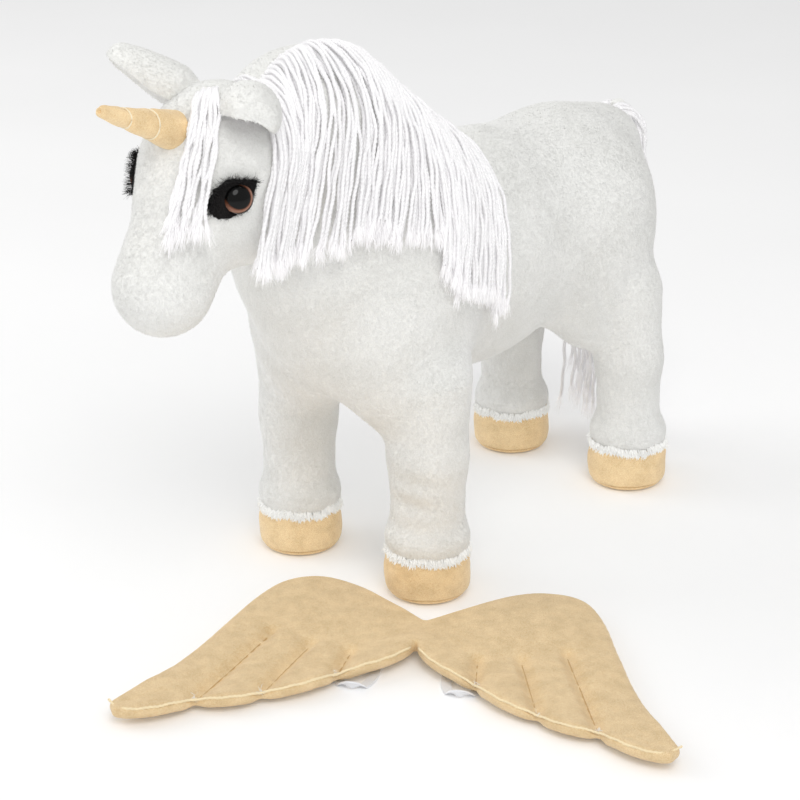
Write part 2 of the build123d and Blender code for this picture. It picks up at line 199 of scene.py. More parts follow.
def wrinkles(p):
    """Folds pressed into the plush where it bends."""
    knee = np.sin((p[:, 2] - 92) / 3.6 + 0.02 * (p[:, 0] - FX) ** 2 / 10)
    d = 1.1 * knee * bump(p, (FX + 4, FY - 22, 84), (22, 16, 17))
    d += 1.0 * np.sin((p[:, 2] - 128) / 4.5) * bump(p, (-FX, FY - 24, 128), (24, 16, 12))
    for _, s in SIDES:
        fold = (p[:, 1] - (RY - 48)) + 0.55 * (p[:, 2] - 165)
        d += 1.6 * np.exp(-((fold / 5.0) ** 2)) * bump(p, (s * 66, RY - 50, 165), (26, 40, 34))
    return d


def gradient(field, p, h=0.6):
    """Outward normals of a field."""
    g = columns(*[field(p + step) - field(p - step) for step in np.eye(3) * h])
    return g / np.maximum(np.linalg.norm(g, axis=1, keepdims=True), 1e-9)


def sampled(field, low, high, step):
    """A field's values on an even grid between two corners."""
    axes = [np.arange(low[i], high[i] + step, step) for i in range(3)]
    grid = np.stack(np.meshgrid(*axes, indexing="ij"), -1)
    return field(grid.reshape(-1, 3)).reshape(grid.shape[:3])


def surface(field, low, high, step):
    """Quads of a field's zero surface, pulled exactly onto it."""
    volume = openvdb.FloatGrid(background=100.0)
    volume.copyFromArray(sampled(field, low, high, step).astype(np.float32))
    points, _, quads = volume.convertToPolygons(isovalue=0.0, adaptivity=0.0)
    p = np.asarray(points, float) * step + np.asarray(low, float)
    for _ in range(3):
        p -= field(p)[:, None] * gradient(field, p)
    return p, np.asarray(quads)


class Baked:
    """A field stored on a grid, for quick distances and normals of many moving points."""

    def __init__(self, field, low, high, step=4.0):
        values = sampled(field, low, high, step)
        self.table = np.stack([values, *np.gradient(values, step)], -1)
        self.low, self.step = np.array(low, float), step

    def __call__(self, p):
        """Distance and outward normal at each point."""
        q = (p - self.low) / self.step
        q = np.clip(q, 0, np.array(self.table.shape[:3]) - 1.001)
        i = q.astype(int)
        f = q - i
        out = np.zeros((len(p), 4))
        for corner in np.ndindex(2, 2, 2):
            share = np.prod(np.where(np.array(corner), f, 1 - f), axis=1)
            at = i + np.array(corner)
            out += share[:, None] * self.table[at[:, 0], at[:, 1], at[:, 2]]
        return out[:, 0], unit(out[:, 1:] + 1e-9)


# ---------------------------------------------------------------- mesh making


def mesh(name, points, faces, material, normals=None, smooth=True):
    """A mesh object in metres from points in millimetres."""
    data = bpy.data.meshes.new(name)
    data.vertices.add(len(points))
    data.vertices.foreach_set("co", (np.asarray(points, float) * MM).astype(np.float32).ravel())
    data.loops.add(faces.size)
    data.loops.foreach_set("vertex_index", faces.astype(np.int32).ravel())
    data.polygons.add(len(faces))
    starts = np.arange(0, faces.size, faces.shape[1], dtype=np.int32)
    data.polygons.foreach_set("loop_start", starts)
    data.update(calc_edges=True)
    data.polygons.foreach_set("use_smooth", np.full(len(faces), smooth))
    if normals is not None:
        data.normals_split_custom_set_from_vertices(normals.astype(np.float32).tolist())
    data.materials.append(material)
    piece = bpy.data.objects.new(name, data)
    bpy.context.scene.collection.objects.link(piece)
    return piece


def dress(piece, finish, *nodes, body=None, bend=None):
    """A piece's finish (not used), the CAD nodes it stands for, and the body it rides on.

    bend gives two bodies, a start and an end; only its presence is used, to bake the piece's
    transform into its mesh.
    """
    if body:
        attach(piece, body)
    if bend:
        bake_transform(piece)
    if nodes:
        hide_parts(*nodes)


def grid_quads(rows, across, closed):
    """Quads between neighbouring rows and columns of points."""
    i = np.arange(rows - 1)[:, None] * across
    k = np.arange(across if closed else across - 1)[None, :]
    k2 = (k + 1) % across
    return np.stack([i + k, i + k2, i + across + k2, i + across + k], -1).reshape(-1, 4)


def double(faces, count):
    """Faces of a closed sheet: one side, the other side count points later, and the rim."""
    edges = np.concatenate([faces[:, [i, (i + 1) % 4]] for i in range(4)]).astype(np.int64)
    back = edges[:, 1] * count + edges[:, 0]
    rim = edges[~np.isin(edges[:, 0] * count + edges[:, 1], back)]
    wall = columns(rim[:, 1], rim[:, 0], rim[:, 0] + count, rim[:, 1] + count)
    return np.concatenate([faces, faces[:, ::-1] + count, wall])


def shell(name, points, quads, normals, thick, material):
    """A closed cloth shell with an outer face, an inner face and a rim."""
    used, faces = np.unique(quads, return_inverse=True)
    outer, n = points[used], normals[used]
    points = np.concatenate([outer, outer - n * thick])
    faces = double(faces.reshape(quads.shape), len(outer))
    return mesh(name, points, faces, material, np.concatenate([n, -n]))


def turned(profile, around, shape=None):
    """Points and quads of a closed turned form along Z from (radius, height) pairs."""
    profile = np.asarray(profile, float)
    r, turn = cross_grid(profile[:, 0], circle(around))
    z = np.broadcast_to(profile[:, 1:], r.shape)
    if shape is not None:
        r = shape(r, z, turn)
    points = columns(r * np.cos(turn), r * np.sin(turn), z).reshape(-1, 3)
    return points, grid_quads(len(profile), around, True)


def smooth_profile(profile, count):
    """More points along a profile, with soft corners."""
    fine = walk(np.array(profile, float), lambda length: np.linspace(0, length, count))
    for _ in range(3):
        fine[1:-1] = (fine[:-2] + 2 * fine[1:-1] + fine[2:]) / 4
    return fine


def stand(points, centre, axis):
    """Points made along Z, moved to a centre and turned so that Z becomes the axis."""
    side = unit(np.cross(UP, axis))
    return np.asarray(centre) + points @ np.array([side, np.cross(axis, side), axis])


def ribbons(p0, p1, p2, flat, taper):
    """Points and quads of thin ribbons that bend once between their two ends."""
    sides = [p0 - flat, p0 + flat, p1 + flat, p1 - flat, p2 + flat * taper, p2 - flat * taper]
    one = np.array([[0, 1, 2, 3], [3, 2, 4, 5]])
    quads = (np.arange(len(p0))[:, None, None] * 6 + one).reshape(-1, 4)
    return np.stack(sides, 1).reshape(-1, 3), quads


def hairs(name, base, way, length, width, material):
    """Loose fibres as narrow bent ribbons that end in a point."""
    size = length * rng.uniform(0.6, 1.1, len(base))[:, None]
    way = unit(way)
    flat = unit(np.cross(way, rng.normal(0, 1, way.shape))) * width / 2
    curl = rng.normal(0, 0.25, way.shape)
    bend = base + way * size * 0.5 + curl * size * 0.2
    points, quads = ribbons(base, bend, base + unit(way + curl) * size, flat, 0.3)
    return mesh(name, points, quads, material)


# ---------------------------------------------------------------- materials


class Shader:
    """A material's node tree, with short calls to add and join nodes."""

    def __init__(self, name, colour, roughness):
        self.material = bpy.data.materials.new(name)
        self.material.use_nodes = True
        self.tree = self.material.node_tree
        self.surface = self.tree.nodes["Principled BSDF"]
        self.set(Roughness=roughness, Base_Color=(*colour, 1))
        self.place = self.add("ShaderNodeTexCoord").outputs["Object"]

    def feed(self, socket, value):
        """Give a socket a value, or another node's output."""
        if isinstance(value, bpy.types.NodeSocket):
            self.tree.links.new(value, socket)
        else:
            socket.default_value = value

    def add(self, kind, inputs=None, **settings):
        """A node, with its inputs given as values or as other nodes' sockets."""
        node = self.tree.nodes.new(kind)
        for key, value in settings.items():
            setattr(node, key, value)
        for key, value in (inputs or {}).items():
            self.feed(node.inputs[key], value)
        return node

    def noise(self, scale, detail=2.0, rough=0.5):
        """Noise with features about 1/scale metres wide."""
        inputs = {"Vector": self.place, "Scale": scale, "Detail": detail, "Roughness": rough}
        return self.add("ShaderNodeTexNoise", inputs).outputs["Fac"]

    def ramp(self, value, *stops):
        """Colours along a value from 0 to 1."""
        node = self.add("ShaderNodeValToRGB", {"Fac": value})
        elements = node.color_ramp.elements
        elements.remove(elements[1])
        for i, (at, colour) in enumerate(stops):
            element = elements[0] if i == 0 else elements.new(at)
            element.position = at
            element.color = (*colour, 1)
        return node.outputs["Color"]

    def math(self, operation, a, b):
        """One arithmetic step."""
        return self.add("ShaderNodeMath", {0: a, 1: b}, operation=operation).outputs[0]

    def mix(self, factor, a, b, blend="MIX"):
        """Blend of two colours."""
        node = self.add("ShaderNodeMix", {0: factor}, data_type="RGBA", blend_type=blend)
        for index, value in ((6, a), (7, b)):
            self.feed(node.inputs[index], (*value, 1) if isinstance(value, tuple) else value)
        return node.outputs[2]

    def bump(self, height, distance, strength):
        """Relief of a given depth in metres, on top of any relief so far."""
        old = self.surface.inputs["Normal"]
        inputs = {"Height": height, "Distance": distance, "Strength": strength}
        if old.is_linked:
            inputs["Normal"] = old.links[0].from_socket
        self.feed(old, self.add("ShaderNodeBump", inputs).outputs["Normal"])

    def set(self, **values):
        """Surface inputs by name, with _ for a space."""
        for key, value in values.items():
            self.feed(self.surface.inputs[key.replace("_", " ")], value)


def linear(r, g, b):
    """Scene-linear colour from 0 to 255 display values."""
    return tuple(((c / 255 + 0.055) / 1.055) ** 2.4 for c in (r, g, b))


def dimmed(colour, share):
    """A darker or lighter tone of a colour."""
    return tuple(c * share for c in colour)


BLACK, WHITE = (0, 0, 0), (1, 1, 1)


def plush_material(name, light, dark, sheen):
    """Short pile: soft cloudy tone, brushed streaks and a fine nap."""
    s = Shader(name, light, 0.95)
    cloud = s.ramp(s.noise(26, 3), (0.35, dark), (0.62, light))
    nap = s.ramp(s.noise(900, 1), (0.25, (0.93, 0.93, 0.92)), (0.6, WHITE))
    s.set(Base_Color=s.mix(1.0, cloud, nap, "MULTIPLY"), Sheen_Weight=sheen)
    s.set(Sheen_Roughness=0.6, Specular_IOR_Level=0.1)
    s.bump(s.noise(420, 2), 0.0007, 0.5)
    return s.material


GLITTER_SHADES = ((226, 193, 142), (238, 209, 163), (247, 224, 182))


def glitter_material(name, gain):
    """Pale gold cloth covered in fine glitter grains, over a soft weave."""
    s = Shader(name, linear(229, 199, 152), 0.5)
    low, mid, high = [dimmed(linear(*shade), gain) for shade in GLITTER_SHADES]
    grains = s.add("ShaderNodeTexVoronoi", {"Vector": s.place, "Scale": 3400.0})
    grain = s.add("ShaderNodeSeparateColor", {0: grains.outputs["Color"]}).outputs
    tone = s.ramp(grain[0], (0.0, low), (0.5, mid), (0.85, high))
    cloud = s.ramp(s.noise(75, 5, 0.62), (0.36, (0.87, 0.85, 0.81)), (0.62, WHITE))
    s.set(Base_Color=s.mix(1.0, tone, cloud, "MULTIPLY"))
    flake = s.ramp(grain[1], (0.9, BLACK), (0.93, WHITE))
    s.set(Metallic=s.math("MULTIPLY", flake, 0.9))
    s.set(Roughness=s.math("SUBTRACT", 0.62, s.math("MULTIPLY", flake, 0.3)))
    s.bump(grain[2], 0.0001, 0.6)
    s.bump(s.noise(60, 4), 0.0012, 0.5)
    s.set(Sheen_Weight=0.15, Specular_IOR_Level=0.35)
    return s.material


def cord_material(name, colour, painted_glow=0.0):
    """Soft twisted cotton: fine fibres and a little tone from cord to cord. painted_glow is painted
    light: an emission that makes the cord brighter than the lamps alone light it.
    """
    s = Shader(name, colour, 0.9)
    tone = s.ramp(s.noise(150, 2), (0.3, dimmed(colour, 0.93)), (0.7, colour))
    s.set(Base_Color=tone, Sheen_Weight=0.3, Specular_IOR_Level=0.1)
    s.set(Emission_Color=(*colour, 1), Emission_Strength=painted_glow)
    s.bump(s.noise(2600, 2), 0.0002, 0.5)
    return s.material


def felt_material(name):
    """Pressed black felt with short loose fibres."""
    s = Shader(name, (0.006, 0.0055, 0.0055), 0.95)
    dark, light = (0.004, 0.0035, 0.0035), (0.028, 0.025, 0.025)
    tone = s.ramp(s.noise(1600, 3, 0.7), (0.4, dark), (0.75, light))
    s.set(Base_Color=tone, Sheen_Weight=0.12, Specular_IOR_Level=0.1)
    s.bump(s.noise(1400, 3, 0.7), 0.0005, 0.8)
    return s.material


EYE_RINGS = (
    (0.0, (0.002, 0.002, 0.002)),
    (0.56, (0.002, 0.002, 0.002)),
    (0.62, linear(96, 56, 38)),
    (0.70, linear(142, 98, 80)),
    (0.84, linear(158, 118, 100)),
    (0.90, linear(60, 38, 28)),
    (1.0, (0.003, 0.002, 0.002)),
)


def eye_material(name):
    """Polished dome: a black pupil, and a brown ring that darkens outwards."""
    s = Shader(name, (0.01, 0.006, 0.004), 0.08)
    ring = s.add("ShaderNodeAttribute", attribute_name="ring").outputs["Fac"]
    streak = s.math("SUBTRACT", s.math("MULTIPLY", s.noise(1300, 2), 0.06), 0.03)
    colour = s.ramp(s.math("ADD", ring, streak), *EYE_RINGS)
    s.set(Base_Color=colour, Specular_IOR_Level=0.32, IOR=1.4)
    return s.material


def cloth_material(name, colour, scale, sheen, rough):
    """Smooth woven cloth or elastic: fine crossing threads."""
    s = Shader(name, colour, rough)
    rows = []
    for turn in (0.0, math.pi / 2):
        inputs = {"Vector": s.place, "Rotation": (0.0, 0.0, turn)}
        turned_place = s.add("ShaderNodeMapping", inputs).outputs[0]
        inputs = {"Vector": turned_place, "Scale": scale, "Distortion": 0.4}
        rows.append(s.add("ShaderNodeTexWave", inputs).outputs["Fac"])
    weave = s.math("MAXIMUM", *rows)
    s.set(Base_Color=s.mix(weave, dimmed(colour, 0.86), colour))
    s.set(Sheen_Weight=sheen, Specular_IOR_Level=0.3)
    s.bump(weave, 0.0002, 0.5)
    return s.material


PLUSH = plush_material("plush", linear(247, 247, 244), linear(240, 240, 237), 0.2)
PILE = plush_material("pile", linear(251, 251, 249), linear(245, 245, 242), 0.25)
GLITTER = glitter_material("glitter_cloth", 0.97)
HOOF_GLITTER = glitter_material("hoof_glitter_cloth", 1.1)
# CORD, FUR_EDGE and HORN_THREAD get a small painted_glow: painted light that brightens them in
# place of light bounced among white fibres.
CORD = cord_material("cotton_cord", linear(252, 251, 252), 0.13)
FUR_EDGE = cord_material("fur_edge", linear(251, 251, 249), 0.09)
FELT = felt_material("black_felt")
EYE = eye_material("eye_dome")
SATIN = cloth_material("ear_satin", linear(238, 234, 240), 900.0, 0.3, 0.55)
ELASTIC = cloth_material("white_elastic", linear(243, 244, 247), 500.0, 0.1, 0.7)
# The channel thread's darker gold is partly the thread's own colour and partly painted shade of the
# sewn channels.
THREAD_AND_CREASE_SHADE = cord_material("gold_thread_and_crease_shade", linear(204, 166, 112))
HORN_THREAD = cord_material("horn_thread", linear(250, 238, 210), 0.06)
WHITE_THREAD = cord_material("white_thread", linear(248, 247, 244))
# The hem cord is the wings' sewn edge seam, pale and glowing: partly the seam, partly a painted
# highlight along the edge's fold.
HEM_HIGHLIGHT_CORD = cord_material("hem_cord_painted_highlight", linear(249, 230, 190), 0.05)
WASHER = Shader("washer_plastic", linear(225, 225, 222), 0.4).material

# ---------------------------------------------------------------- skin and pile

SKIN_STEP, SKIN_THICK = 4.0, 1.6
LEG_CUT, LEG_BEND = 120.0, 86.0  # skin below the cut is a leg panel; the bend height only goes into the bend given to dress
NECK_AT = np.array([0, PY + 30, PZ - 14])
NECK_N = unit([0, -0.978, 0.206])
TURN_END, NOD_START, NOD_END = 26.0, 30.0, 58.0
EYE_CLEAR = 12.5
COMB = (0.0, 0.45, -1.0)
PILE_DENSITY = 1.15
PILE_LENGTH, PILE_WIDTH, PILE_LEAN = 1.8, 0.75, 0.8
BARREL_ENDS = (-60, 60)
REPLACED = {
    "trunk": ("trunk_cover", "trunk_stuffing", "neck_stuffing"),
    "neck": ("neck_cover", "neck_wad"),
    "head": ("head_cover", "head_stuffing"),
}


def regions(p):
    """Which panel each point belongs to."""
    along = (p - NECK_AT) @ NECK_N
    out = np.full(len(p), "trunk", dtype=object)
    out[(along > 0) & (p[:, 2] > HZ)] = "neck"
    out[(along > (TURN_END + NOD_START) / 2) & (p[:, 2] > HZ)] = "head"
    for end, y in (("front", FY), ("rear", RY)):
        for side, s in SIDES:
            low = (p[:, 2] < LEG_CUT) & (p[:, 1] * y > 0) & (p[:, 0] * s > 0)
            out[low] = f"leg_{end}_{side}"
    return out


def fit(region):
    """The body, or the bend with its bodies, start and end, handed to dress for a skin or pile
    piece of a region.
    """
    if region == "trunk":
        return {"body": "trunk"}
    if region == "neck":
        return {"bend": ("trunk", "neck_link", NECK_AT, NECK_AT + NECK_N * TURN_END)}
    if region == "head":
        ends = [NECK_AT + NECK_N * far for far in (NOD_START, NOD_END)]
        return {"bend": ("neck_link", "head", *ends)}
    return {"bend": ("trunk", region, (0, 0, LEG_CUT), (0, 0, LEG_BEND))}


def blades(name, base, n, length):
    """Fibres combed down and back along the cloth: narrow triangles that face outwards."""
    flow = np.array(COMB) + rng.normal(0, 0.35, n.shape)
    flow = unit(flow - n * (flow * n).sum(1)[:, None])
    half = np.cross(flow, n) * PILE_WIDTH / 2
    size = length * rng.uniform(0.75, 1.2, len(base))[:, None]
    tip = base + size * unit(flow * PILE_LEAN + n * rng.uniform(0.25, 0.5, size.shape))
    points = np.stack([base - half, base + half, tip], 1)
    points[:, :2] -= n[:, None] * 0.15
    faces = np.arange(len(base) * 3).reshape(-1, 3)
    facing = np.cross(points[:, 1] - points[:, 0], points[:, 2] - points[:, 0])
    turned_in = (facing * n).sum(1) < 0
    faces[turned_in] = faces[turned_in][:, ::-1]
    shade = np.repeat(unit(n + rng.normal(0, 0.05, n.shape)), 3, axis=0)
    return mesh(name, points.reshape(-1, 3), faces, PILE, shade)


def scatter(points, quads, normals, per_mm2):
    """Random places on quads, with their normals."""
    corner = points[quads]
    cross = np.cross(corner[:, 2] - corner[:, 0], corner[:, 3] - corner[:, 1])
    count = rng.poisson(np.linalg.norm(cross, axis=1) / 2 * per_mm2)
    pick = np.repeat(np.arange(len(quads)), count)
    u, v = rng.random((2, len(pick), 1))
    share = (((1 - u) * (1 - v)), (u * (1 - v)), (u * v), ((1 - u) * v))
    at = sum(corner[pick, i] * share[i] for i in range(4))
    return at, unit(sum(normals[quads[pick, i]] * share[i] for i in range(4)))


def make_skin():
    """The sewn cover in panels that share their borders, and the pile on it."""
    low, high = (-110, PY - 130, HOOF_TOP - 6), (110, RY + 90, PZ + 95)
    points, quads = surface(body_field, low, high, SKIN_STEP)
    normals = gradient(body_field, points)
    where = regions(points[quads].mean(1))
    for region in sorted(set(where)):
        faces = quads[where == region]
        piece = shell("skin_" + region, points, faces, normals, SKIN_THICK, PLUSH)
        leg = region.replace("leg_", "")
        of_leg = (f"leg_{leg}_cover", f"leg_{leg}_stuffing", f"hoof_{leg}_padding")
        dress(piece, "pile_fabric", *REPLACED.get(region, of_leg), **fit(region))
        at, n = scatter(points, faces, normals, PILE_DENSITY)
        keep = at[:, 2] > HOOF_TOP - 3
        for name, _ in SIDES:
            far = (at - middle("eye_" + name)) / (1.0, 1.25, 1.0)
            keep &= np.linalg.norm(far, axis=1) > EYE_CLEAR
        at, n = at[keep], n[keep]
        third = np.digitize(at[:, 1], BARREL_ENDS if region == "trunk" else (-1e9,))
        for i, part in enumerate(np.unique(third)):
            here = third == part
            fur = blades(f"pile_{region}_{i}", at[here], n[here], PILE_LENGTH)
            dress(fur, "pile_fabric", **fit(region))


make_skin()

# ---------------------------------------------------------------- hair cords

CORD_R, PLIES, AROUND = 1.5, 3, 9
RING_STEP, TWIST_PITCH = 1.15, 9.0
STRAND_STEP = 6.0
FALL_STEPS, LENGTH_PASSES, DRAG, WEIGHT = 220, 14, 0.90, 0.35


def drape(roots, start, pull, length, field, margin, slide=1.0):
    """Let cords hang: points on a fixed-length string fall, and are pushed out of the field.

    A small slide keeps them from slipping along Y when they are pushed out.
    """
    count = int(length / STRAND_STEP) + 1
    along = np.arange(count)[None, :, None] * STRAND_STEP
    p = roots[:, None, :] + unit(start)[:, None, :] * along
    old = p.copy()
    fixed = p[:, :2].copy()
    margin = np.repeat(margin, count - 2)
    for _ in range(FALL_STEPS):
        speed = (p - old) * DRAG
        old = p.copy()
        p = p + speed + pull[:, None, :] * WEIGHT
        for _ in range(LENGTH_PASSES):
            gap = p[:, 1:] - p[:, :-1]
            far = np.linalg.norm(gap, axis=2, keepdims=True)
            fix = gap * (1 - STRAND_STEP / np.maximum(far, 1e-6)) * 0.5
            p[:, :-1] += fix
            p[:, 1:] -= fix
            p[:, :2] = fixed
        flat = p[:, 2:].reshape(-1, 3)
        distance, normal = field(flat)
        short = np.minimum(distance - margin, 0)
        way = normal * (1, slide, 1)
        way /= np.maximum((way * normal).sum(1), 0.35)[:, None]
        p[:, 2:] = (flat - way * short[:, None]).reshape(len(p), -1, 3)
    return p


def wave(line, size):
    """A cord line with the slow kinks of hanging cotton."""
    far = np.arange(len(line)) * RING_STEP
    rise = np.clip(far / 30, 0, 1)[:, None]
    swing = np.zeros_like(line)
    for long in (70, 38, 21):
        phase = rng.uniform(0, TAU, 2)
        turn = far * TAU / (long * rng.uniform(0.85, 1.2))
        swing[:, 1] += np.sin(turn + phase[0]) * long / 70
        swing[:, 0] += np.sin(turn + phase[1]) * long / 160
    return line + swing * rise * size


def resample(line, step):
    """Even points along a smooth curve through a polyline."""
    for _ in range(2):
        soft = line.copy()
        soft[1:-1] = (line[:-2] + 2 * line[1:-1] + line[2:]) / 4
        line = soft
    between = line[:-1] * 0.5 + line[1:] * 0.5
    between[1:-1] += (line[1:-2] + line[2:-1] - line[:-3] - line[3:]) / 16
    fine = np.empty((len(line) * 2 - 1, 3))
    fine[::2], fine[1::2] = line, between
    return walk(fine, lambda length: np.arange(0, length, step))


def hang(strands, kink, lowest):
    """Smooth kinked lines from draped strands, each cut where it passes below its own height."""
    lines = []
    for strand, low in zip(strands, lowest):
        line = wave(resample(strand, RING_STEP), kink)
        below = np.nonzero(line[:, 2] < low)[0]
        lines.append(line[: max(below[0], 8)] if len(below) else line)
    return lines


def tube_frames(line):
    """Tangent and two cross directions along a curve, with no sudden turns."""
    t = unit(np.gradient(line, axis=0))
    side = np.empty_like(t)
    first = np.cross(t[0], (0.3, 0.2, 1.0))
    side[0] = first / np.linalg.norm(first)
    for i in range(1, len(t)):
        v = side[i - 1] - t[i] * (side[i - 1] @ t[i])
        side[i] = v / np.linalg.norm(v)
    return t, side, np.cross(t, side)


def cord(line, radius, pitch, phase):
    """Points and quads of one twisted three-ply cord with closed ends."""
    _, a, b = tube_frames(line)
    far = np.arange(len(line)) * RING_STEP
    ring = circle(AROUND)
    turn = ring[None, :] + (far / pitch * TAU + phase)[:, None]
    r = radius * (0.90 + 0.15 * np.cos(ring * PLIES))[None, :] * np.ones((len(line), 1))
    r[-2:] *= 0.75
    across = np.cos(turn)[..., None] * a[:, None] + np.sin(turn)[..., None] * b[:, None]
    points = line[:, None] + r[..., None] * across
    ends = (0, (len(line) - 1) * AROUND)
    caps = [[at + j, at + j + 1, at + j + 2, at] for at in ends for j in range(1, AROUND - 2)]
    return points.reshape(-1, 3), np.concatenate([grid_quads(len(line), AROUND, True), caps])


def fray(line, spread, length, count):
    """Loose fibres that fan out of a cord's cut end."""
    t, a, b = tube_frames(line)
    tip, way = line[-1] - t[-1] * 3.0, t[-3]
    angle = rng.uniform(0, TAU, count)
    out = np.cos(angle)[:, None] * a[-1] + np.sin(angle)[:, None] * b[-1]
    wide = np.sqrt(rng.random(count))[:, None] * spread
    size = length * rng.uniform(0.55, 1.1, count)[:, None]
    p0 = tip + out * CORD_R * 0.6
    p1 = p0 + way * size * 0.45 + out * wide * 0.45 + rng.normal(0, 0.5, out.shape)
    p2 = p0 + way * size + out * wide - UP + rng.normal(0, 0.9, out.shape)
    return ribbons(p0, p1, p2, unit(np.cross(out, way)) * 0.20, 0.4)


def bundle(name, lines, radius, material, fringe=None):
    """One mesh of many cords. fringe is the spread, length and number of fibres at a cut end."""
    points, quads, total = [], [], 0
    for line in lines:
        pitch = TWIST_PITCH * rng.uniform(0.9, 1.15)
        parts = [cord(line, radius * rng.uniform(0.92, 1.08), pitch, rng.uniform(0, 6.28))]
        if fringe:
            parts.append(fray(line, *fringe))
        for p, q in parts:
            points.append(p)
            quads.append(q + total)
            total += len(p)
    return mesh(name, np.concatenate(points), np.concatenate(quads), material)


def top_of(x, y, start):
    """Height of the body's surface under a point."""
    z = np.full(len(x), float(start))
    for _ in range(60):
        z -= body_field(columns(x, y, z)) * 0.8
    return z


BODY = Baked(body_field, (-60, PY - 110, 0), (150, RY + 120, PZ + 110))
MANE_FRONT, MANE_BACK = corners("mane_tape")[0][1] - 46, corners("mane_tape")[1][1] + 13
MANE_PITCHES = (3.4, 3.2, 4.4)
MANE_LENGTH, FORELOCK_LENGTH, TAIL_LENGTH = 196, 128, 276
FORELOCK_CORDS, TAIL_CORDS = 22, 62
MANE_AT = (0, 0.14, 0.27, 0.34, 0.60, 0.63, 0.79, 1)
MANE_EDGE = (283, 277, 280, 289, 274, 252, 229, 199)


def make_mane():
    """Three layers of cords sewn along the crest, combed to the left."""
    y = MANE_FRONT + (MANE_BACK - MANE_FRONT) * np.linspace(0, 1, 400)
    z = top_of(np.zeros(400), y, PZ + 90)
    far = np.concatenate([[0], np.cumsum(np.hypot(np.diff(y), np.diff(z)))])
    lines = []
    for layer, pitch in enumerate(MANE_PITCHES):
        count = int(far[-1] / pitch)
        at = np.linspace(0, far[-1], count) + rng.normal(0, 0.6, count)
        share = np.clip(at / far[-1], 0, 1)
        ry = np.interp(at, far, y)
        rx = -2.5 + layer * 1.2 + rng.normal(0, 0.6, count)
        roots = columns(rx, ry, top_of(rx, ry, PZ + 90) + 0.4 + 0.8 * layer)
        lean = -0.30 + 0.17 * share + rng.normal(0, 0.022, count) + 0.03 * np.sin(share * 23)
        start = columns(0.95, lean * 0.4, 0.55 + 0.15 * layer - 0.6 * share)
        margin = 1.8 + layer * 2.6 + rng.uniform(0, 1.0, count)
        pull = unit(columns(0.02, lean, -1.0))
        strands = drape(roots, start, pull, MANE_LENGTH, BODY, margin, slide=0.12)
        edge = np.interp(share, MANE_AT, MANE_EDGE) + rng.normal(0, 3.0, count)
        lines += hang(strands, 0.9, edge)
    for i in range(3):
        piece = bundle(f"mane_cords_{i}", lines[i::3], CORD_R, CORD, (3.2, 12, 30))
        bend = ("trunk", "mane", (6.0, 0, 0), (26.0, 0, 0))
        dress(piece, "yarn", "mane_cords", "mane_tape", bend=bend)


def horn_and_head(p):
    """The head with the horn standing on it, for cords that fall beside the horn."""
    low, high = corners("horn_cover")
    base, tip = (0, high[1] - 10, low[2] + 12), (0, low[1] + 4, high[2] - 4)
    return np.minimum(body_field(p), limb(p, base, tip, 12, 4))


def make_forelock():
    """Cords from between the ears, down the forehead beside the horn."""
    count = FORELOCK_CORDS
    share = np.linspace(0, 1, count)
    rx = 7 * share + rng.normal(0, 0.7, count)
    ry = PY - 32 + 9 * share + rng.normal(0, 1.2, count)
    roots = columns(rx, ry, top_of(rx, ry, PZ + 80))
    pull = unit(columns(0.08 + 0.01 * share, -0.46 + 0.10 * share, -1.0))
    start = columns(0.72 - 0.12 * share, -0.75, 0.25)
    margin = 1.8 + rng.integers(0, 3, count) * 2.2
    around = Baked(horn_and_head, (-30, PY - 110, PZ - 90), (70, PY + 30, PZ + 70), 3.0)
    strands = drape(roots, start, pull, FORELOCK_LENGTH, around, margin, slide=0.35)
    lines = hang(strands, 1.5, PZ - 25 + rng.normal(0, 4.0, count))
    piece = bundle("forelock", lines, CORD_R, CORD, (4.5, 14, 30))
    bend = ("head", "forelock", (0, 0, PZ + 44), (0, 0, PZ + 26))
    dress(piece, "yarn", "forelock_cords", bend=bend)


def make_tail():
    """A full tail of cords from the rump."""
    root, count = pivot("tail_lift"), TAIL_CORDS
    angle = rng.uniform(0, TAU, count)
    wide = np.sqrt(rng.random(count)) * 9.0
    roots = columns(np.cos(angle) * wide, root[1] - 12, root[2] - 3 + np.sin(angle) * wide * 0.6)
    fan = rng.normal(-0.025, 0.03, count) + 0.009 * np.cos(angle) * wide
    margin = 2.0 + 10.0 * rng.random(count)
    start, pull = columns(fan * 2, 1.0, 0.45), unit(columns(fan, -0.03, -1.0))
    strands = drape(roots, start, pull, TAIL_LENGTH, BODY, margin)
    short = rng.random(count) < 0.35
    edge = np.where(short, rng.uniform(40, 110, count), rng.uniform(18, 40, count))
    lines = hang(strands, 1.5, edge)
    for i in range(2):
        piece = bundle(f"tail_cords_{i}", lines[i::2], CORD_R, CORD, (4.0, 16, 26))
        bend = ("tail_base", "tail", (0, 0, root[2] - 2), (0, 0, root[2] - 30))
        dress(piece, "yarn", "tail_cords", bend=bend)


make_mane()
make_forelock()
make_tail()

# ---------------------------------------------------------------- hooves

HOOF_SEAM = 4.4


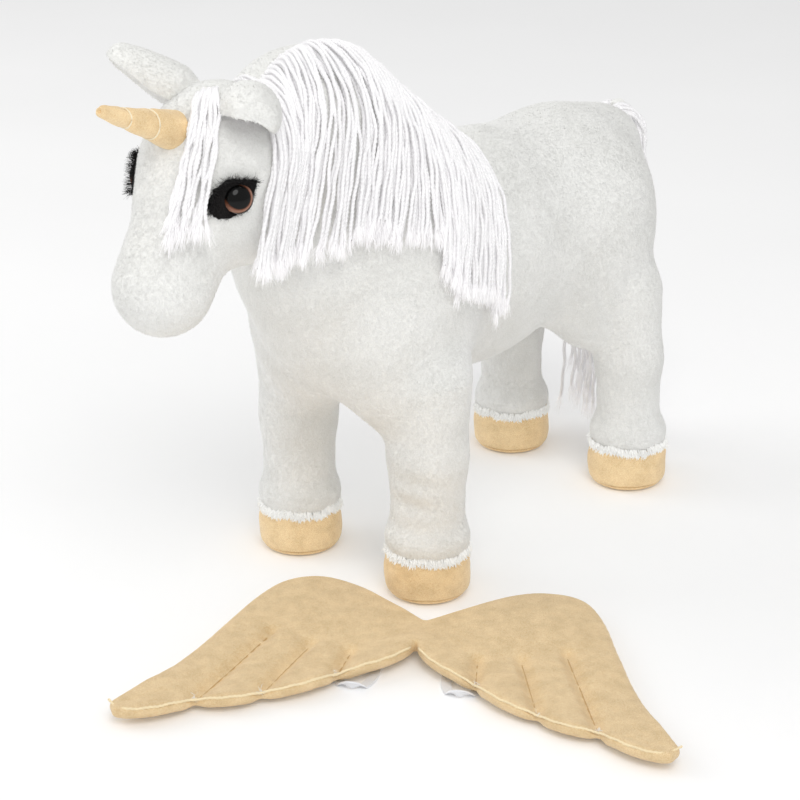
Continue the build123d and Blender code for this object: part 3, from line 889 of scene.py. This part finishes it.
def make_hoof(end, side, index):
    """One glitter hoof: wall with a rounded foot, the sole under a seam, and fur over its top."""
    name, body = f"hoof_{end}_{side}", f"leg_{end}_{side}"
    centre = middle(name + "_wall") * (1, 1, 0)
    r, top, seam, seed = HOOF_R, HOOF_TOP, HOOF_SEAM, 1.7 * index

    def gathers(r, z, turn):
        """Small folds of the cloth below the line where it is sewn to the leg."""
        near = np.exp(-(((z - top + 5) / 4.5) ** 2))
        r = r + near * 0.55 * np.sin(9 * turn + seed) * np.sin(4 * turn + 2 * seed)
        r = r + 0.35 * np.sin(3 * turn + seed) * np.sin(z * 0.25 + seed)
        band = np.exp(-(((z - top + 7 + 1.6 * np.sin(2 * turn + seed)) / 1.5) ** 2))
        return r - 0.5 * band * (0.5 + 0.5 * np.sin(turn * 2 + seed * 3))

    wall = (
        (r - 5.0, seam + 0.6), (r - 1.9, seam + 0.1), (r - 1.2, seam + 1.0),
        (r - 0.5, seam + 4.0), (r, seam + 9.0), (r, top * 0.62), (r - 0.6, top * 0.82),
        (r - 1.8, top), (r - 5.0, top + 2.0), (r - 12.0, top + 2.4),
    )
    sole = (
        (0.1, 0.0), (r - 10.0, 0.0), (r - 6.4, 0.5), (r - 3.6, 1.9), (r - 2.0, 3.6),
        (r - 1.9, seam - 0.2), (r - 2.6, seam + 0.2), (r - 6.0, seam + 0.4), (0.1, seam + 0.4),
    )
    for part, profile, rows, around, shape in (
        ("wall", wall, 52, 120, gathers),
        ("sole", sole, 40, 96, None),
    ):
        points, quads = turned(smooth_profile(profile, rows), around, shape)
        piece = mesh(f"{name}_{part}_cloth", points + centre, quads, HOOF_GLITTER)
        dress(piece, "metallic_fabric", f"{name}_{part}", body=body)
    count = 2600
    turn = rng.uniform(0, TAU, count)
    out = columns(np.cos(turn), np.sin(turn), 0.0)
    edge = 0.8 * np.sin(5 * turn + index) + 0.5 * np.sin(11 * turn + 2 * index)
    height = top + 1.5 + edge + rng.uniform(-1.5, 3.5, count)
    base = centre + out * (r - 1.6) + UP * height[:, None]
    way = out * 0.30 - UP + rng.normal(0, 0.16, base.shape)
    tufts = hairs(name + "_fur_edge", base, way, 4.2, 0.9, FUR_EDGE)
    dress(tufts, "pile_fabric", body=body)


for index, (end, side) in enumerate((e, s) for e in ("front", "rear") for s in ("left", "right")):
    make_hoof(end, side, index)

# ---------------------------------------------------------------- horn

HORN_LOW, HORN_HIGH = corners("horn_cover")
HORN_R, HORN_TIP_R = (HORN_HIGH[0] - HORN_LOW[0]) / 2, 4.0
HORN_BASE = np.array([0.0, HORN_HIGH[1] - 4.6, HORN_LOW[2] + 11.6])
HORN_TIP = np.array([0.0, HORN_LOW[1] + 1.5, HORN_HIGH[2] - 3.7])
HORN_LEN = float(np.linalg.norm(HORN_TIP - HORN_BASE))
HORN_RINGS = (0.33, 0.68)


def horn_radius(share):
    """Radius of the horn at a share of its length."""
    return HORN_TIP_R + (HORN_R - HORN_TIP_R) * (1 - share) ** 1.12


def horn_ring(share, turn):
    """Height along the horn of one wound thread, which leans as a spiral does."""
    return share * HORN_LEN + 2.2 * np.sin(turn - 0.6)


def horn_shape(r, z, turn):
    """Pinches under the wound threads, and soft folds of stuffed cloth between them."""
    for share in HORN_RINGS:
        r = r - 0.9 * np.exp(-(((z - horn_ring(share, turn)) / 2.0) ** 2)) * (r > 1)
    folds = 0.22 * np.sin(3 * turn + z * 0.16) + 0.16 * np.sin(5 * turn - z * 0.3)
    return r + folds * (r > 2)


def make_horn():
    """Glitter horn with two wound threads and a gathered blunt tip."""
    length, r = HORN_LEN, HORN_TIP_R
    foot = [(0.1, -4), (HORN_R * 0.8, -4), (HORN_R + 0.5, -2)]
    shaft = [(horn_radius(t), t * length) for t in np.linspace(0, 0.96, 24)]
    tip = [(r, length * 0.975), (r - 0.7, length + 0.6), (2.1, length + 1.5)]
    end = [(1.0, length), (0.1, length - 1)]
    points, quads = turned(smooth_profile(foot + shaft + tip + end, 90), 72, horn_shape)
    axis = unit(HORN_TIP - HORN_BASE)
    piece = mesh("horn_cloth", stand(points, HORN_BASE, axis), quads, HOOF_GLITTER)
    dress(piece, "metallic_fabric", "horn_cover", "horn_stuffing", body="head")
    turn = np.linspace(0, TAU * 0.995, 70)
    for i, share in enumerate(HORN_RINGS):
        z = horn_ring(share, turn)
        r = horn_radius(z / length) - 0.55
        ring = stand(columns(r * np.cos(turn), r * np.sin(turn), z), HORN_BASE, axis)
        points, quads = cord(resample(ring, 1.0), 0.62, 5.0, 0.0)
        winding = mesh(f"horn_thread_{i}", points, quads, HORN_THREAD)
        dress(winding, "thread", "horn_thread", body="head")


make_horn()

# ---------------------------------------------------------------- ears

EAR_WAY = {"left": (0.72, -0.66, 0.05), "right": (-0.80, -0.46, 0.40)}
EAR_OPEN = (0.30, -0.65, -0.65)
EAR_LEN = {"left": 36.0, "right": 51.0}
EAR_DROOP = {"left": 5.0, "right": 1.5}
EAR_SINK = 8.0
EAR_U = (-0.40, 0.0, 0.2, 0.45, 0.7, 0.88, 1.0)
EAR_HALF = (12.0, 30.0, 30.0, 27.0, 21.5, 16.5, 12.5)
EAR_ROLL = (1.85, 1.85, 1.8, 1.65, 1.5, 1.4, 1.3)


def ear_axes(side):
    """Directions along the ear, across it, and off its back."""
    along = unit(EAR_WAY[side])
    back = -np.array(EAR_OPEN) * (SIGN[side], 1, 1)
    back = unit(back - along * (back @ along))
    return along, np.cross(along, back), back


def ear_thickness(u):
    """Half the ear's thickness, which is less towards its tip."""
    return 4.4 + 1.2 * (1 - u)


def ear_point(side, u, v, lift):
    """A point of the rolled ear: u along it, v across it, lift off its middle sheet."""
    along, across, back = ear_axes(side)
    round_tip = np.sqrt(np.clip(1 - np.clip((u - 0.84) / 0.16, 0, 1) ** 2, 0, 1))
    half = np.interp(u, EAR_U, EAR_HALF) * (0.05 + 0.95 * round_tip)
    roll = np.interp(u, EAR_U, EAR_ROLL)
    radius = half / roll
    reach = radius + lift * (0.25 + 0.75 * round_tip)
    base, turn = pivot(f"ear_{side}_fold"), v * roll
    at = base + along * (u * EAR_LEN[side])[..., None] + across * (reach * np.sin(turn))[..., None]
    at = at + back * (reach * np.cos(turn) - radius * 0.55)[..., None]
    at[..., 2] -= EAR_DROOP[side] * np.clip(u, 0, 1) ** 2 + EAR_SINK * np.clip(-u / 0.4, 0, 1)
    return at


def make_ear(side):
    """Plush ear with a rolled edge, and the smooth cloth lining in its cup."""
    base, (along, _, _) = pivot(f"ear_{side}_fold"), ear_axes(side)
    rows, ring = 46, 56
    u, turn = cross_grid(np.linspace(-0.40, 0.9995, rows), circle(ring))
    grid = ear_point(side, u, np.cos(turn), np.sin(turn) * ear_thickness(u))
    foot, tip = [np.repeat(row.mean(0)[None, None], ring, 1) for row in (grid[0], grid[-1])]
    grid = np.concatenate([foot, grid, tip])
    n = np.cross(np.gradient(grid, axis=0), np.roll(grid, -1, axis=1) - np.roll(grid, 1, axis=1))
    n /= np.maximum(np.linalg.norm(n, axis=-1, keepdims=True), 1e-9)
    if ((grid - grid.mean(1, keepdims=True)) * n).sum() < 0:
        n = -n
    n[-1] = along
    quads = grid_quads(rows + 2, ring, True)
    points, n = grid.reshape(-1, 3), n.reshape(-1, 3)
    first = points[quads[:, 0]]
    facing = np.cross(points[quads[:, 1]] - first, points[quads[:, 3]] - first)
    if (facing * n[quads[:, 0]]).sum() < 0:
        quads = quads[:, ::-1]
    plush = mesh(f"ear_{side}_plush", points, quads, PLUSH, n)
    at, normal = scatter(points, quads, n, PILE_DENSITY)
    far = (at - base) @ along
    outside = ((at - base - along * far[:, None]) * normal).sum(1) > 0
    keep = (outside | (far > EAR_LEN[side] * 0.86)) & (far > -8)
    fur = blades(f"pile_ear_{side}", at[keep], normal[keep], PILE_LENGTH * 0.9)
    rows, across = 30, 24
    u, v = cross_grid(np.linspace(-0.12, 0.90, rows), np.linspace(-0.86, 0.86, across))
    v = v * np.sqrt(np.clip(1.02 - np.clip((u - 0.6) / 0.3, 0, 1) ** 2, 0.02, 1))
    cup = -ear_thickness(u) * np.sqrt(1 - v * v)
    sheets = [ear_point(side, u, v, cup + lift).reshape(-1, 3) for lift in (-0.9, 0.8)]
    faces = double(grid_quads(rows, across, False), rows * across)
    lining = mesh(f"ear_{side}_satin", np.concatenate(sheets), faces, SATIN)
    bend = ("head", f"ear_{side}", base - along * 6, base + along * 9)
    dress(plush, "pile_fabric", f"ear_{side}_outer", bend=bend)
    dress(fur, "pile_fabric", bend=bend)
    dress(lining, "ear_lining", f"ear_{side}_lining", bend=bend)


for side, _ in SIDES:
    make_ear(side)

# ---------------------------------------------------------------- eyes

EYE_R, EYE_H = 9.5, 6.3
WASHER_PROFILE = ((2.4, -0.75), (7.0, -0.75), (7.0, 0.75), (2.4, 0.75), (2.4, -0.75))
PATCH_OUTLINE = (
    (13.0, 9.6), (8.0, 10.6), (2.0, 11.4), (-6.5, 12.6), (-12.5, 8.5), (-17.6, 2.3),
    (-18.6, -6.6), (-14.0, -10.4), (-8.8, -11.2), (-2.0, -10.0), (4.6, -8.2), (8.4, -3.2),
    (10.6, 3.0),
)


def eye_axes(side):
    """Seat point, outward axis, rearward direction and up direction of one eye."""
    seat, s = middle(f"eye_{side}_patch"), SIGN[side]
    axis = unit(seat - middle(f"eye_{side}_washer"))
    rear = unit(np.cross(UP, axis)) * s
    return seat, axis, rear, unit(np.cross(axis, rear)) * s


def patch_reach(turn):
    """How far the felt reaches from the eye's middle in each direction."""
    outline = np.array(PATCH_OUTLINE)
    angle = np.arctan2(outline[:, 1], outline[:, 0])
    order = np.argsort(angle)
    reach = np.linalg.norm(outline, axis=1)[order]
    return np.interp(turn, angle[order], reach, period=TAU)


def on_head(p, axis):
    """Points moved along an axis onto the plush, with its normals there."""
    for _ in range(8):
        p = p - axis * body_field(p)[:, None] * 0.9
    return p, gradient(body_field, p)


def felt_hairs(name, side, count, sector, inner, lift, lean, spread, size):
    """Fibres that stand on the felt patch, between two angles and outside an inner share of it."""
    seat, axis, rear, up = eye_axes(side)
    angle = rng.uniform(*sector, count)
    far = patch_reach(angle) * rng.uniform(inner, 1.0, count)
    flat = seat + (np.cos(angle) * far)[:, None] * rear + (np.sin(angle) * far)[:, None] * up
    base, n = on_head(flat, axis)
    out = np.cos(angle)[:, None] * rear + np.sin(angle)[:, None] * up
    way = n * lean[0] + out * lean[1] + rng.normal(0, spread, n.shape)
    return hairs(name, base + n * lift, way, *size, FELT)


def make_eye(side):
    """Felt patch that follows the cheek, polished dome with an iris ring, washer and lashes."""
    seat, axis, rear, up = eye_axes(side)
    rings, around = 16, 96
    share, turn = cross_grid(np.linspace(0.02, 1, rings), circle(around))
    reach = patch_reach(turn)
    reach = (reach * 2 + np.roll(reach, 1, 1) + np.roll(reach, -1, 1)) / 4
    ragged = 1 + 0.03 * share * rng.normal(0, 1, (1, around))
    x, y = np.cos(turn) * reach * share * ragged, np.sin(turn) * reach * share * ragged
    points, n = on_head(seat + x.reshape(-1, 1) * rear + y.reshape(-1, 1) * up, axis)
    quads = grid_quads(rings, around, True)
    if np.cross(rear, up) @ axis > 0:
        quads = quads[:, ::-1]
    raised = points + n * (2.3 - 1.2 * share.reshape(-1, 1) ** 8)
    felt = shell(f"eye_{side}_felt", raised, quads, n, 2.0, FELT)
    top = float(((raised - seat) @ axis)[: around * 4].max())
    curve = np.linspace(0.1, 1.56, 22)
    profile = [(0.1, -2.0), (EYE_R, -2.0), (EYE_R, 0.6)]
    profile += [(EYE_R * math.cos(t), 0.6 + (EYE_H - 0.6) * math.sin(t)) for t in curve]
    points, quads = turned(smooth_profile(profile + [(0.1, EYE_H)], 70), 80)
    ring = np.hypot(points[:, 0], points[:, 1]) / EYE_R
    world = stand(points, seat + axis * (top - 1.4), axis)
    shift = ((world - seat) @ rear) * 0.10 - ((world - seat) @ up) * 0.09
    dome = mesh(f"eye_{side}_dome", world, quads, EYE)
    level = np.clip(ring - 0.13 + shift * 0.28, 0, 1)
    data = dome.data.attributes.new("ring", "FLOAT", "POINT")
    data.data.foreach_set("value", level.astype(np.float32))
    points, quads = turned(WASHER_PROFILE, 40)
    points = stand(points, middle(f"eye_{side}_washer"), axis)
    disc = mesh(f"eye_{side}_lock_washer", points, quads, WASHER)
    fuzz = felt_hairs(
        f"eye_{side}_felt_fuzz", side, 1500,
        (0, TAU), 0.62, 1.8, (0.7, 0.7), 0.5, (2.0, 0.16),
    )
    lashes = felt_hairs(
        f"eye_{side}_lash_strip", side, 620,
        np.radians((38, 205)), 0.86, 1.4, (1.0, 0.55), 0.28, (6.8, 0.22),
    )
    dress(felt, "felt", f"eye_{side}_patch", body="head")
    dress(dome, "eye", f"eye_{side}", body="head")
    dress(disc, "washer", f"eye_{side}_washer", body="head")
    dress(fuzz, "felt", body="head")
    dress(lashes, "felt", f"eye_{side}_lashes", body="head")


for side, _ in SIDES:
    make_eye(side)

# ---------------------------------------------------------------- tail dock


def make_dock():
    """The rolled plush tab that the tail cords are sewn round."""
    low, high = corners("tail_dock")
    r, end = (high[0] - low[0]) / 2, high[1] - low[1]
    profile = ((0.1, -2), (r - 0.8, -2), (r, 0), (r, end - 1.5), (r - 1.5, end), (0.1, end))
    points, quads = turned(smooth_profile(profile, 26), 40)
    points = stand(points, (0, low[1], (low[2] + high[2]) / 2), np.array([0, 1.0, 0]))
    piece = mesh("tail_dock_plush", points, quads, PLUSH)
    dress(piece, "pile_fabric", "tail_dock", body="tail_base")


make_dock()

# ---------------------------------------------------------------- wings

FOLD_L, FOLD_R = pivot("wing_left_fold"), pivot("wing_right_fold")
WING_T = unit((FOLD_L - FOLD_R) * (1, 1, 0))
WING_C = np.array([WING_T[1], -WING_T[0], 0.0])
WING_O = (FOLD_L + FOLD_R) / 2 * (1, 1, 0)
WING_LOW = corners("wing_left_bottom")[0][2]
WING_HIGH = corners("wing_left_stitching")[1][2]
WING_MID = WING_LOW + 4.6
FOLD_AT = float((FOLD_L - WING_O) @ WING_T)
BRIDGE_HALF = FOLD_AT - 3.0
LEADING = (
    (0, -19), (14, -32), (35, -50), (55, -66), (75, -75), (96, -73), (113, -60), (125, -31),
    (134, 4), (146, 46), (161, 87), (173, 113), (182, 131),
)
TIP = (177.0, 141.0)
NOTCHES = ((130.0, 113.0), (90.0, 98.0), (46.0, 66.0), (0.0, 22.0))
SEAM_ENDS = ((100.5, 13.5), (71.5, 26.5), (43.0, 33.0))
EDGE_STEPS, LOBES, SCALLOP = 48, 9, 8.0
INSIDE, SEAM, ALONG = 0, 1, 2


def wing_outline():
    """The left wing's outline from the middle line round the tip and back, as (along, across)."""
    points = list(smooth_profile(LEADING, EDGE_STEPS))
    last = np.array(TIP)
    for notch in np.array(NOTCHES):
        way = notch - last
        out = np.array([-way[1], way[0]])
        out = out / np.linalg.norm(out)
        if out[1] < 0:
            out = -out
        for s in np.arange(LOBES) / LOBES:
            points.append(last + way * s + out * SCALLOP * math.sin(math.pi * s) ** 0.65)
        last = notch
    return np.array(points + [last])


OUTLINE = wing_outline()


def off_line(t, c, a, b):
    """Distance to the line between two points, and the share along it of the nearest place."""
    way = np.array([b[0] - a[0], b[1] - a[1]])
    h = np.clip(((t - a[0]) * way[0] + (c - a[1]) * way[1]) / (way @ way), 0, 1)
    return np.hypot(t - a[0] - h * way[0], c - a[1] - h * way[1]), h * np.linalg.norm(way)


def outline_distance(t, c):
    """Distance inside the outline of the whole pair, which mirrors across the middle line."""
    whole = np.concatenate([OUTLINE, (OUTLINE * (-1, 1))[::-1]])
    near = np.full(len(t), 1e9)
    inside = np.zeros(len(t), bool)
    for a, b in zip(whole, np.roll(whole, -1, axis=0)):
        if (b - a) @ (b - a) < 1e-9:
            continue
        near = np.minimum(near, off_line(t, c, a, b)[0])
        if abs(b[1] - a[1]) > 1e-9:
            crossing = (b[0] - a[0]) * (c - a[1]) / (b[1] - a[1]) + a[0]
            inside ^= ((a[1] > c) != (b[1] > c)) & (t < crossing)
    return np.where(inside, near, -near)


def seam_distance(t, c):
    """Distance to the nearest sewn channel, and how far along it that is."""
    near, along = np.full(len(t), 1e9), np.zeros(len(t))
    for a, b in zip(NOTCHES, SEAM_ENDS):
        d, far = off_line(t, c, a, b)
        along = np.where(d < near, far, along)
        near = np.minimum(near, d)
    return near, along


def wing_map(step=2.0):
    """Inside distance, seam distance and place along a seam on a grid, for fast lookup."""
    t, c = np.arange(-196, 197, step), np.arange(-90, 160, step)
    grid = cross_grid(t, c)
    flat_t, flat_c = grid[0].ravel(), grid[1].ravel()
    maps = (outline_distance(flat_t, flat_c), *seam_distance(np.abs(flat_t), flat_c))
    return t, c, [values.reshape(grid[0].shape) for values in maps]


MAP_T, MAP_C, MAPS = wing_map()


def look(which, t, c):
    """Read one of the wing maps between its grid points."""
    table = MAPS[which]
    step = MAP_T[1] - MAP_T[0]
    x = np.clip((t - MAP_T[0]) / step, 0, len(MAP_T) - 1.001)
    y = np.clip((c - MAP_C[0]) / step, 0, len(MAP_C) - 1.001)
    i, j = x.astype(int), y.astype(int)
    f, g = x - i, y - j
    low = table[i, j] * (1 - f) + table[i + 1, j] * f
    high = table[i, j + 1] * (1 - f) + table[i + 1, j + 1] * f
    return low * (1 - g) + high * g


def wing_lift(t, c):
    """How far the padding's middle sheet rises: the lobes of the trailing edge curl up a little."""
    d = look(INSIDE, t, c)
    lobe = np.clip(look(SEAM, t, c) / 16, 0, 1)
    trailing = np.clip((c - 10 - 0.55 * np.abs(t)) / 22 + 1.0, 0, 1)
    swell = 0.5 + 0.5 * np.sin(np.abs(t) * 0.041 + 0.6)
    return 4.2 * lobe * trailing * np.exp(-np.maximum(d, 0) / 15) * (0.6 + 0.4 * swell)


def wing_height(t, c):
    """Top face of the padding over its middle sheet."""
    seam = look(SEAM, t, c)
    soft = 0.35 * np.sin(t * 0.052 + 1.0) * np.sin(c * 0.061) + 0.22 * np.sin(t * 0.13 + c * 0.09)
    pucker = 0.55 * np.sin(look(ALONG, t, c) * 0.72 + 2.2 * np.sin(seam * 0.25))
    pucker = pucker * np.exp(-seam / 8) * (seam < 30)
    return 5.0 + soft + pucker - 4.6 * np.exp(-((seam / 4.6) ** 2))


def from_wing(t, c, z):
    """World place from (along, across, height) of the wings."""
    t, c, z = [np.asarray(v, float)[..., None] for v in (t, c, z)]
    return WING_O + t * WING_T + c * WING_C + z * UP


def wing_field(q):
    """Distance-like field of the padded pair, in its own (along, across, height) axes."""
    t, c, z = q.T
    up = z - WING_MID - wing_lift(t, c)
    low = 4.6 - 1.8 * np.exp(-((look(SEAM, t, c) / 4.0) ** 2))
    half = np.where(up > 0, wing_height(t, c), low)
    r = np.minimum(half, 5.0)
    side, over = r - look(INSIDE, t, c), np.abs(up) - (half - r)
    outside = np.hypot(np.maximum(side, 0), np.maximum(over, 0))
    return np.minimum(np.maximum(side, over), 0) + outside - r


def modified(points, quads, prepare):
    """Points, quads and normals of a helper object after the modifiers that prepare gives it."""
    data = bpy.data.meshes.new("work")
    data.from_pydata(points.tolist(), [], quads.tolist())
    work = bpy.data.objects.new("work", data)
    bpy.context.scene.collection.objects.link(work)
    prepare(work)
    result = work.evaluated_get(bpy.context.evaluated_depsgraph_get()).to_mesh()
    out = []
    for items, key, size, kind in (
        (result.vertices, "co", 3, np.float32),
        (result.polygons, "vertices", 4, np.int32),
        (result.vertices, "normal", 3, np.float32),
    ):
        values = np.empty(len(items) * size, kind)
        items.foreach_get(key, values)
        out.append(values.reshape(-1, size))
    bpy.data.objects.remove(work)
    bpy.data.meshes.remove(data)
    return out


def inflate(points, quads, pinned, pressure, cap):
    """Swell a closed cloth skin with air pressure, held at its pins, then cap how far it moved."""
    scene = bpy.context.scene

    def simulate(work):
        """Run the cloth for a few frames."""
        group = work.vertex_groups.new(name="pin")
        group.add([int(i) for i in np.nonzero(pinned)[0]], 1.0, "REPLACE")
        settings = work.modifiers.new("cloth", "CLOTH").settings
        settings.vertex_group_mass = "pin"
        settings.use_pressure = True
        settings.uniform_pressure_force = pressure
        settings.effector_weights.gravity = 0
        settings.quality = 6
        settings.tension_stiffness = 12
        settings.compression_stiffness = 12
        settings.shear_stiffness = 5
        settings.bending_stiffness = 0.4
        for step in range(1, 21):
            scene.frame_set(step)

    moved = modified(points * MM, quads, simulate)[0] / MM
    scene.frame_set(1)
    shift = moved - points
    size = np.linalg.norm(shift, axis=1, keepdims=True)
    return points + shift * np.minimum(1, cap / np.maximum(size, 1e-9))


def subdivide(work):
    """One step of smooth subdivision."""
    work.modifiers.new("subdivision", "SUBSURF").levels = 1


def make_wings():
    """The padded glitter pair: swollen cloth, cut into a middle and two wings at hidden borders."""
    low, high = (-192, -86, WING_LOW - 6), (192, 152, WING_HIGH + 12)
    q, quads = surface(wing_field, low, high, 3.0)
    seam = look(SEAM, np.abs(q[:, 0]), q[:, 1])
    edge = look(INSIDE, q[:, 0], q[:, 1])
    pinned = (q[:, 2] < WING_MID) | (seam < 4.0) | (edge < 3.0)
    q = inflate(q, quads, pinned, 4.0, 2.0)
    q[:, 2] = np.maximum(q[:, 2], WING_LOW)
    q, quads, n = modified(q, quads, subdivide)
    points = from_wing(*q.astype(float).T)
    turn = np.array([WING_T, WING_C, UP])
    normals = n.astype(float) @ turn
    if np.linalg.det(turn) < 0:
        quads = quads[:, ::-1]
    place = q[quads, 0].mean(1)
    for name, s in (("bridge", 0), *SIDES):
        keep = place * s > BRIDGE_HALF if s else np.abs(place) <= BRIDGE_HALF
        used, faces = np.unique(quads[keep], return_inverse=True)
        faces = faces.reshape(-1, 4)
        piece = mesh(f"wing_{name}_cloth", points[used], faces, GLITTER, normals[used])
        layers = [f"wing_{name}_{layer}" for layer in ("top", "padding", "bottom")]
        ends = [from_wing(s * far, 0, 0) for far in (BRIDGE_HALF + 1.5, FOLD_AT + 6)]
        follow = {"bend": ("wings", f"wing_{name}", *ends)} if s else {"body": "wings"}
        dress(piece, "metallic_fabric", *layers, **follow)


def wing_top(t, c):
    """Height of the top face over the floor."""
    z = np.full(len(t), WING_HIGH + 8.0)
    for _ in range(60):
        z -= wing_field(columns(t, c, z)) * 0.7
    return z


STRAP_ALONG, STRAP_ACROSS, STRAP_EDGE = 12.0, 25.0, 63.0
STRAP_HALF = 3.4
STRAP_SECTION = ((-3.4, 0.0), (3.4, 0.0), (3.4, 1.1), (-3.4, 1.1), (-3.4, 0.0))


def strap_points(side):
    """Rings of points of one elastic loop, whose free part stands up at the wing's edge."""
    low, high = corners(f"wing_{side}_strap")
    centre, turn = (low + high) / 2, circle(96)
    far = (centre - WING_O) @ WING_C + STRAP_ACROSS * np.sin(turn)
    tilt = 1.30 * np.clip((far - STRAP_EDGE) / 7, 0, 1)
    rows = []
    for off, thick in STRAP_SECTION:
        out = off * np.cos(tilt) - thick * np.sin(tilt)
        up = (off + STRAP_HALF) * np.sin(tilt) + thick * np.cos(tilt)
        x = (STRAP_ALONG + out) * np.cos(turn) * SIGN[side]
        y = (STRAP_ACROSS + out) * np.sin(turn)
        flat = centre * (1, 1, 0) + x[:, None] * WING_T + y[:, None] * WING_C
        rows.append(flat + UP * (low[2] + 0.15 + up)[:, None])
    return np.concatenate(rows)


def make_wing_trim(side):
    """Channel stitches, the edge seam as a pale glowing cord that is partly a painted highlight
    along the edge, knotted thread ends and the elastic strap.
    """
    s, body, name = SIGN[side], f"wing_{side}", f"wing_{side}"
    stitches, knots = [], []
    for notch, end in zip(NOTCHES, SEAM_ENDS):
        share = np.linspace(0.03, 0.98, 40)
        t = notch[0] + (end[0] - notch[0]) * share
        c = notch[1] + (end[1] - notch[1]) * share
        z = wing_top(s * t, c) + 0.05 + 0.25 * np.sin(np.arange(40) * 2.2)
        stitches.append(resample(from_wing(s * t, c, z), RING_STEP))
        knots.append(from_wing(s * notch[0], notch[1] + 0.5, WING_MID + 4.5))
    # The channel thread's darker gold is partly painted shade of the channels.
    channel = bundle(name + "_channel_thread", stitches, 0.5, THREAD_AND_CREASE_SHADE)
    dress(channel, "thread", name + "_stitching", body=body)
    # The hem cord: the edge seam, pale and glowing as a painted highlight along the fold.
    half = OUTLINE[EDGE_STEPS - 1 : -1]
    t, c, _ = resample(columns(half[:, 0], half[:, 1], 0.0), 2.0).T
    c = c - 1.1
    z = WING_MID + 3.4 + wing_lift(s * t, c) + 0.3 * np.sin(np.arange(len(t)) * 0.9)
    hem = bundle(name + "_hem_cord_painted_highlight", [resample(from_wing(s * t, c, z), RING_STEP)], 0.9, HEM_HIGHLIGHT_CORD)
    dress(hem, "thread", body=body)
    base = np.repeat(np.array(knots), 12, axis=0) + rng.normal(0, 0.7, (36, 3))
    way = WING_C * 0.8 + UP * 0.6 + rng.normal(0, 0.8, base.shape)
    ends = hairs(name + "_thread_ends", base, way, 4.2, 0.35, WHITE_THREAD)
    dress(ends, "thread", body=body)
    quads = grid_quads(5, 96, True)
    strap = mesh(name + "_elastic", strap_points(side), quads, ELASTIC, smooth=False)
    dress(strap, "elastic", name + "_strap", body=body)


make_wings()
for side, _ in SIDES:
    make_wing_trim(side)

# ---------------------------------------------------------------- floor, light and camera

CAMERA_AT = (0.96729, -1.22996, 0.72022)
CAMERA_YAW, CAMERA_PITCH, LENS = 40.18, 21.9, 99.78
LIGHT_AIM = (0.05, -0.05, 0.18)
LIGHTS = (
    ("key", (1.6, -1.4, 2.4), 1.8, 32),
    ("fill", (-2.2, -1.2, 1.6), 2.2, 20),
    ("top", (0.0, 0.4, 3.0), 2.6, 6),
)
SKY_STRENGTH, FLOOR_GLOW = 0.60, 0.08


def place(name, data, at, turn):
    """A light or camera in the scene."""
    thing = bpy.data.objects.new(name, data)
    thing.location, thing.rotation_euler = at, turn
    bpy.context.scene.collection.objects.link(thing)
    return thing


def make_stage():
    """Pale floor, soft studio light and the camera."""
    bpy.ops.mesh.primitive_plane_add(size=14, location=(0, 0, 0))
    floor = bpy.context.object
    floor.name = "floor"
    dark, light = (0.93, 0.93, 0.93), (0.95, 0.95, 0.95)
    s = Shader("pale_floor", dark, 0.9)
    s.set(Base_Color=s.ramp(s.noise(3, 2), (0.3, dark), (0.7, light)))
    s.set(Specular_IOR_Level=0.1, Emission_Color=(1, 1, 1, 1), Emission_Strength=FLOOR_GLOW)
    floor.data.materials.append(s.material)
    scene = bpy.context.scene
    scene.world = bpy.data.worlds.new("studio")
    scene.world.use_nodes = True
    sky = scene.world.node_tree.nodes["Background"].inputs
    sky[0].default_value, sky[1].default_value = (1, 1, 1, 1), SKY_STRENGTH
    for name, at, size, power in LIGHTS:
        data = bpy.data.lights.new(name, "AREA")
        data.shape, data.size, data.energy = "DISK", size, power
        x, y, z = np.array(LIGHT_AIM) - np.array(at)
        down = math.acos(-z / math.sqrt(x * x + y * y + z * z))
        place(name, data, at, (down, 0, math.atan2(y, x) - math.pi / 2))
    data = bpy.data.cameras.new("camera")
    data.lens, data.clip_end = LENS, 50
    turn = (math.radians(90 - CAMERA_PITCH), 0, math.radians(CAMERA_YAW))
    scene.camera = place("camera", data, CAMERA_AT, turn)
    scene.view_settings.view_transform = "Standard"


make_stage()
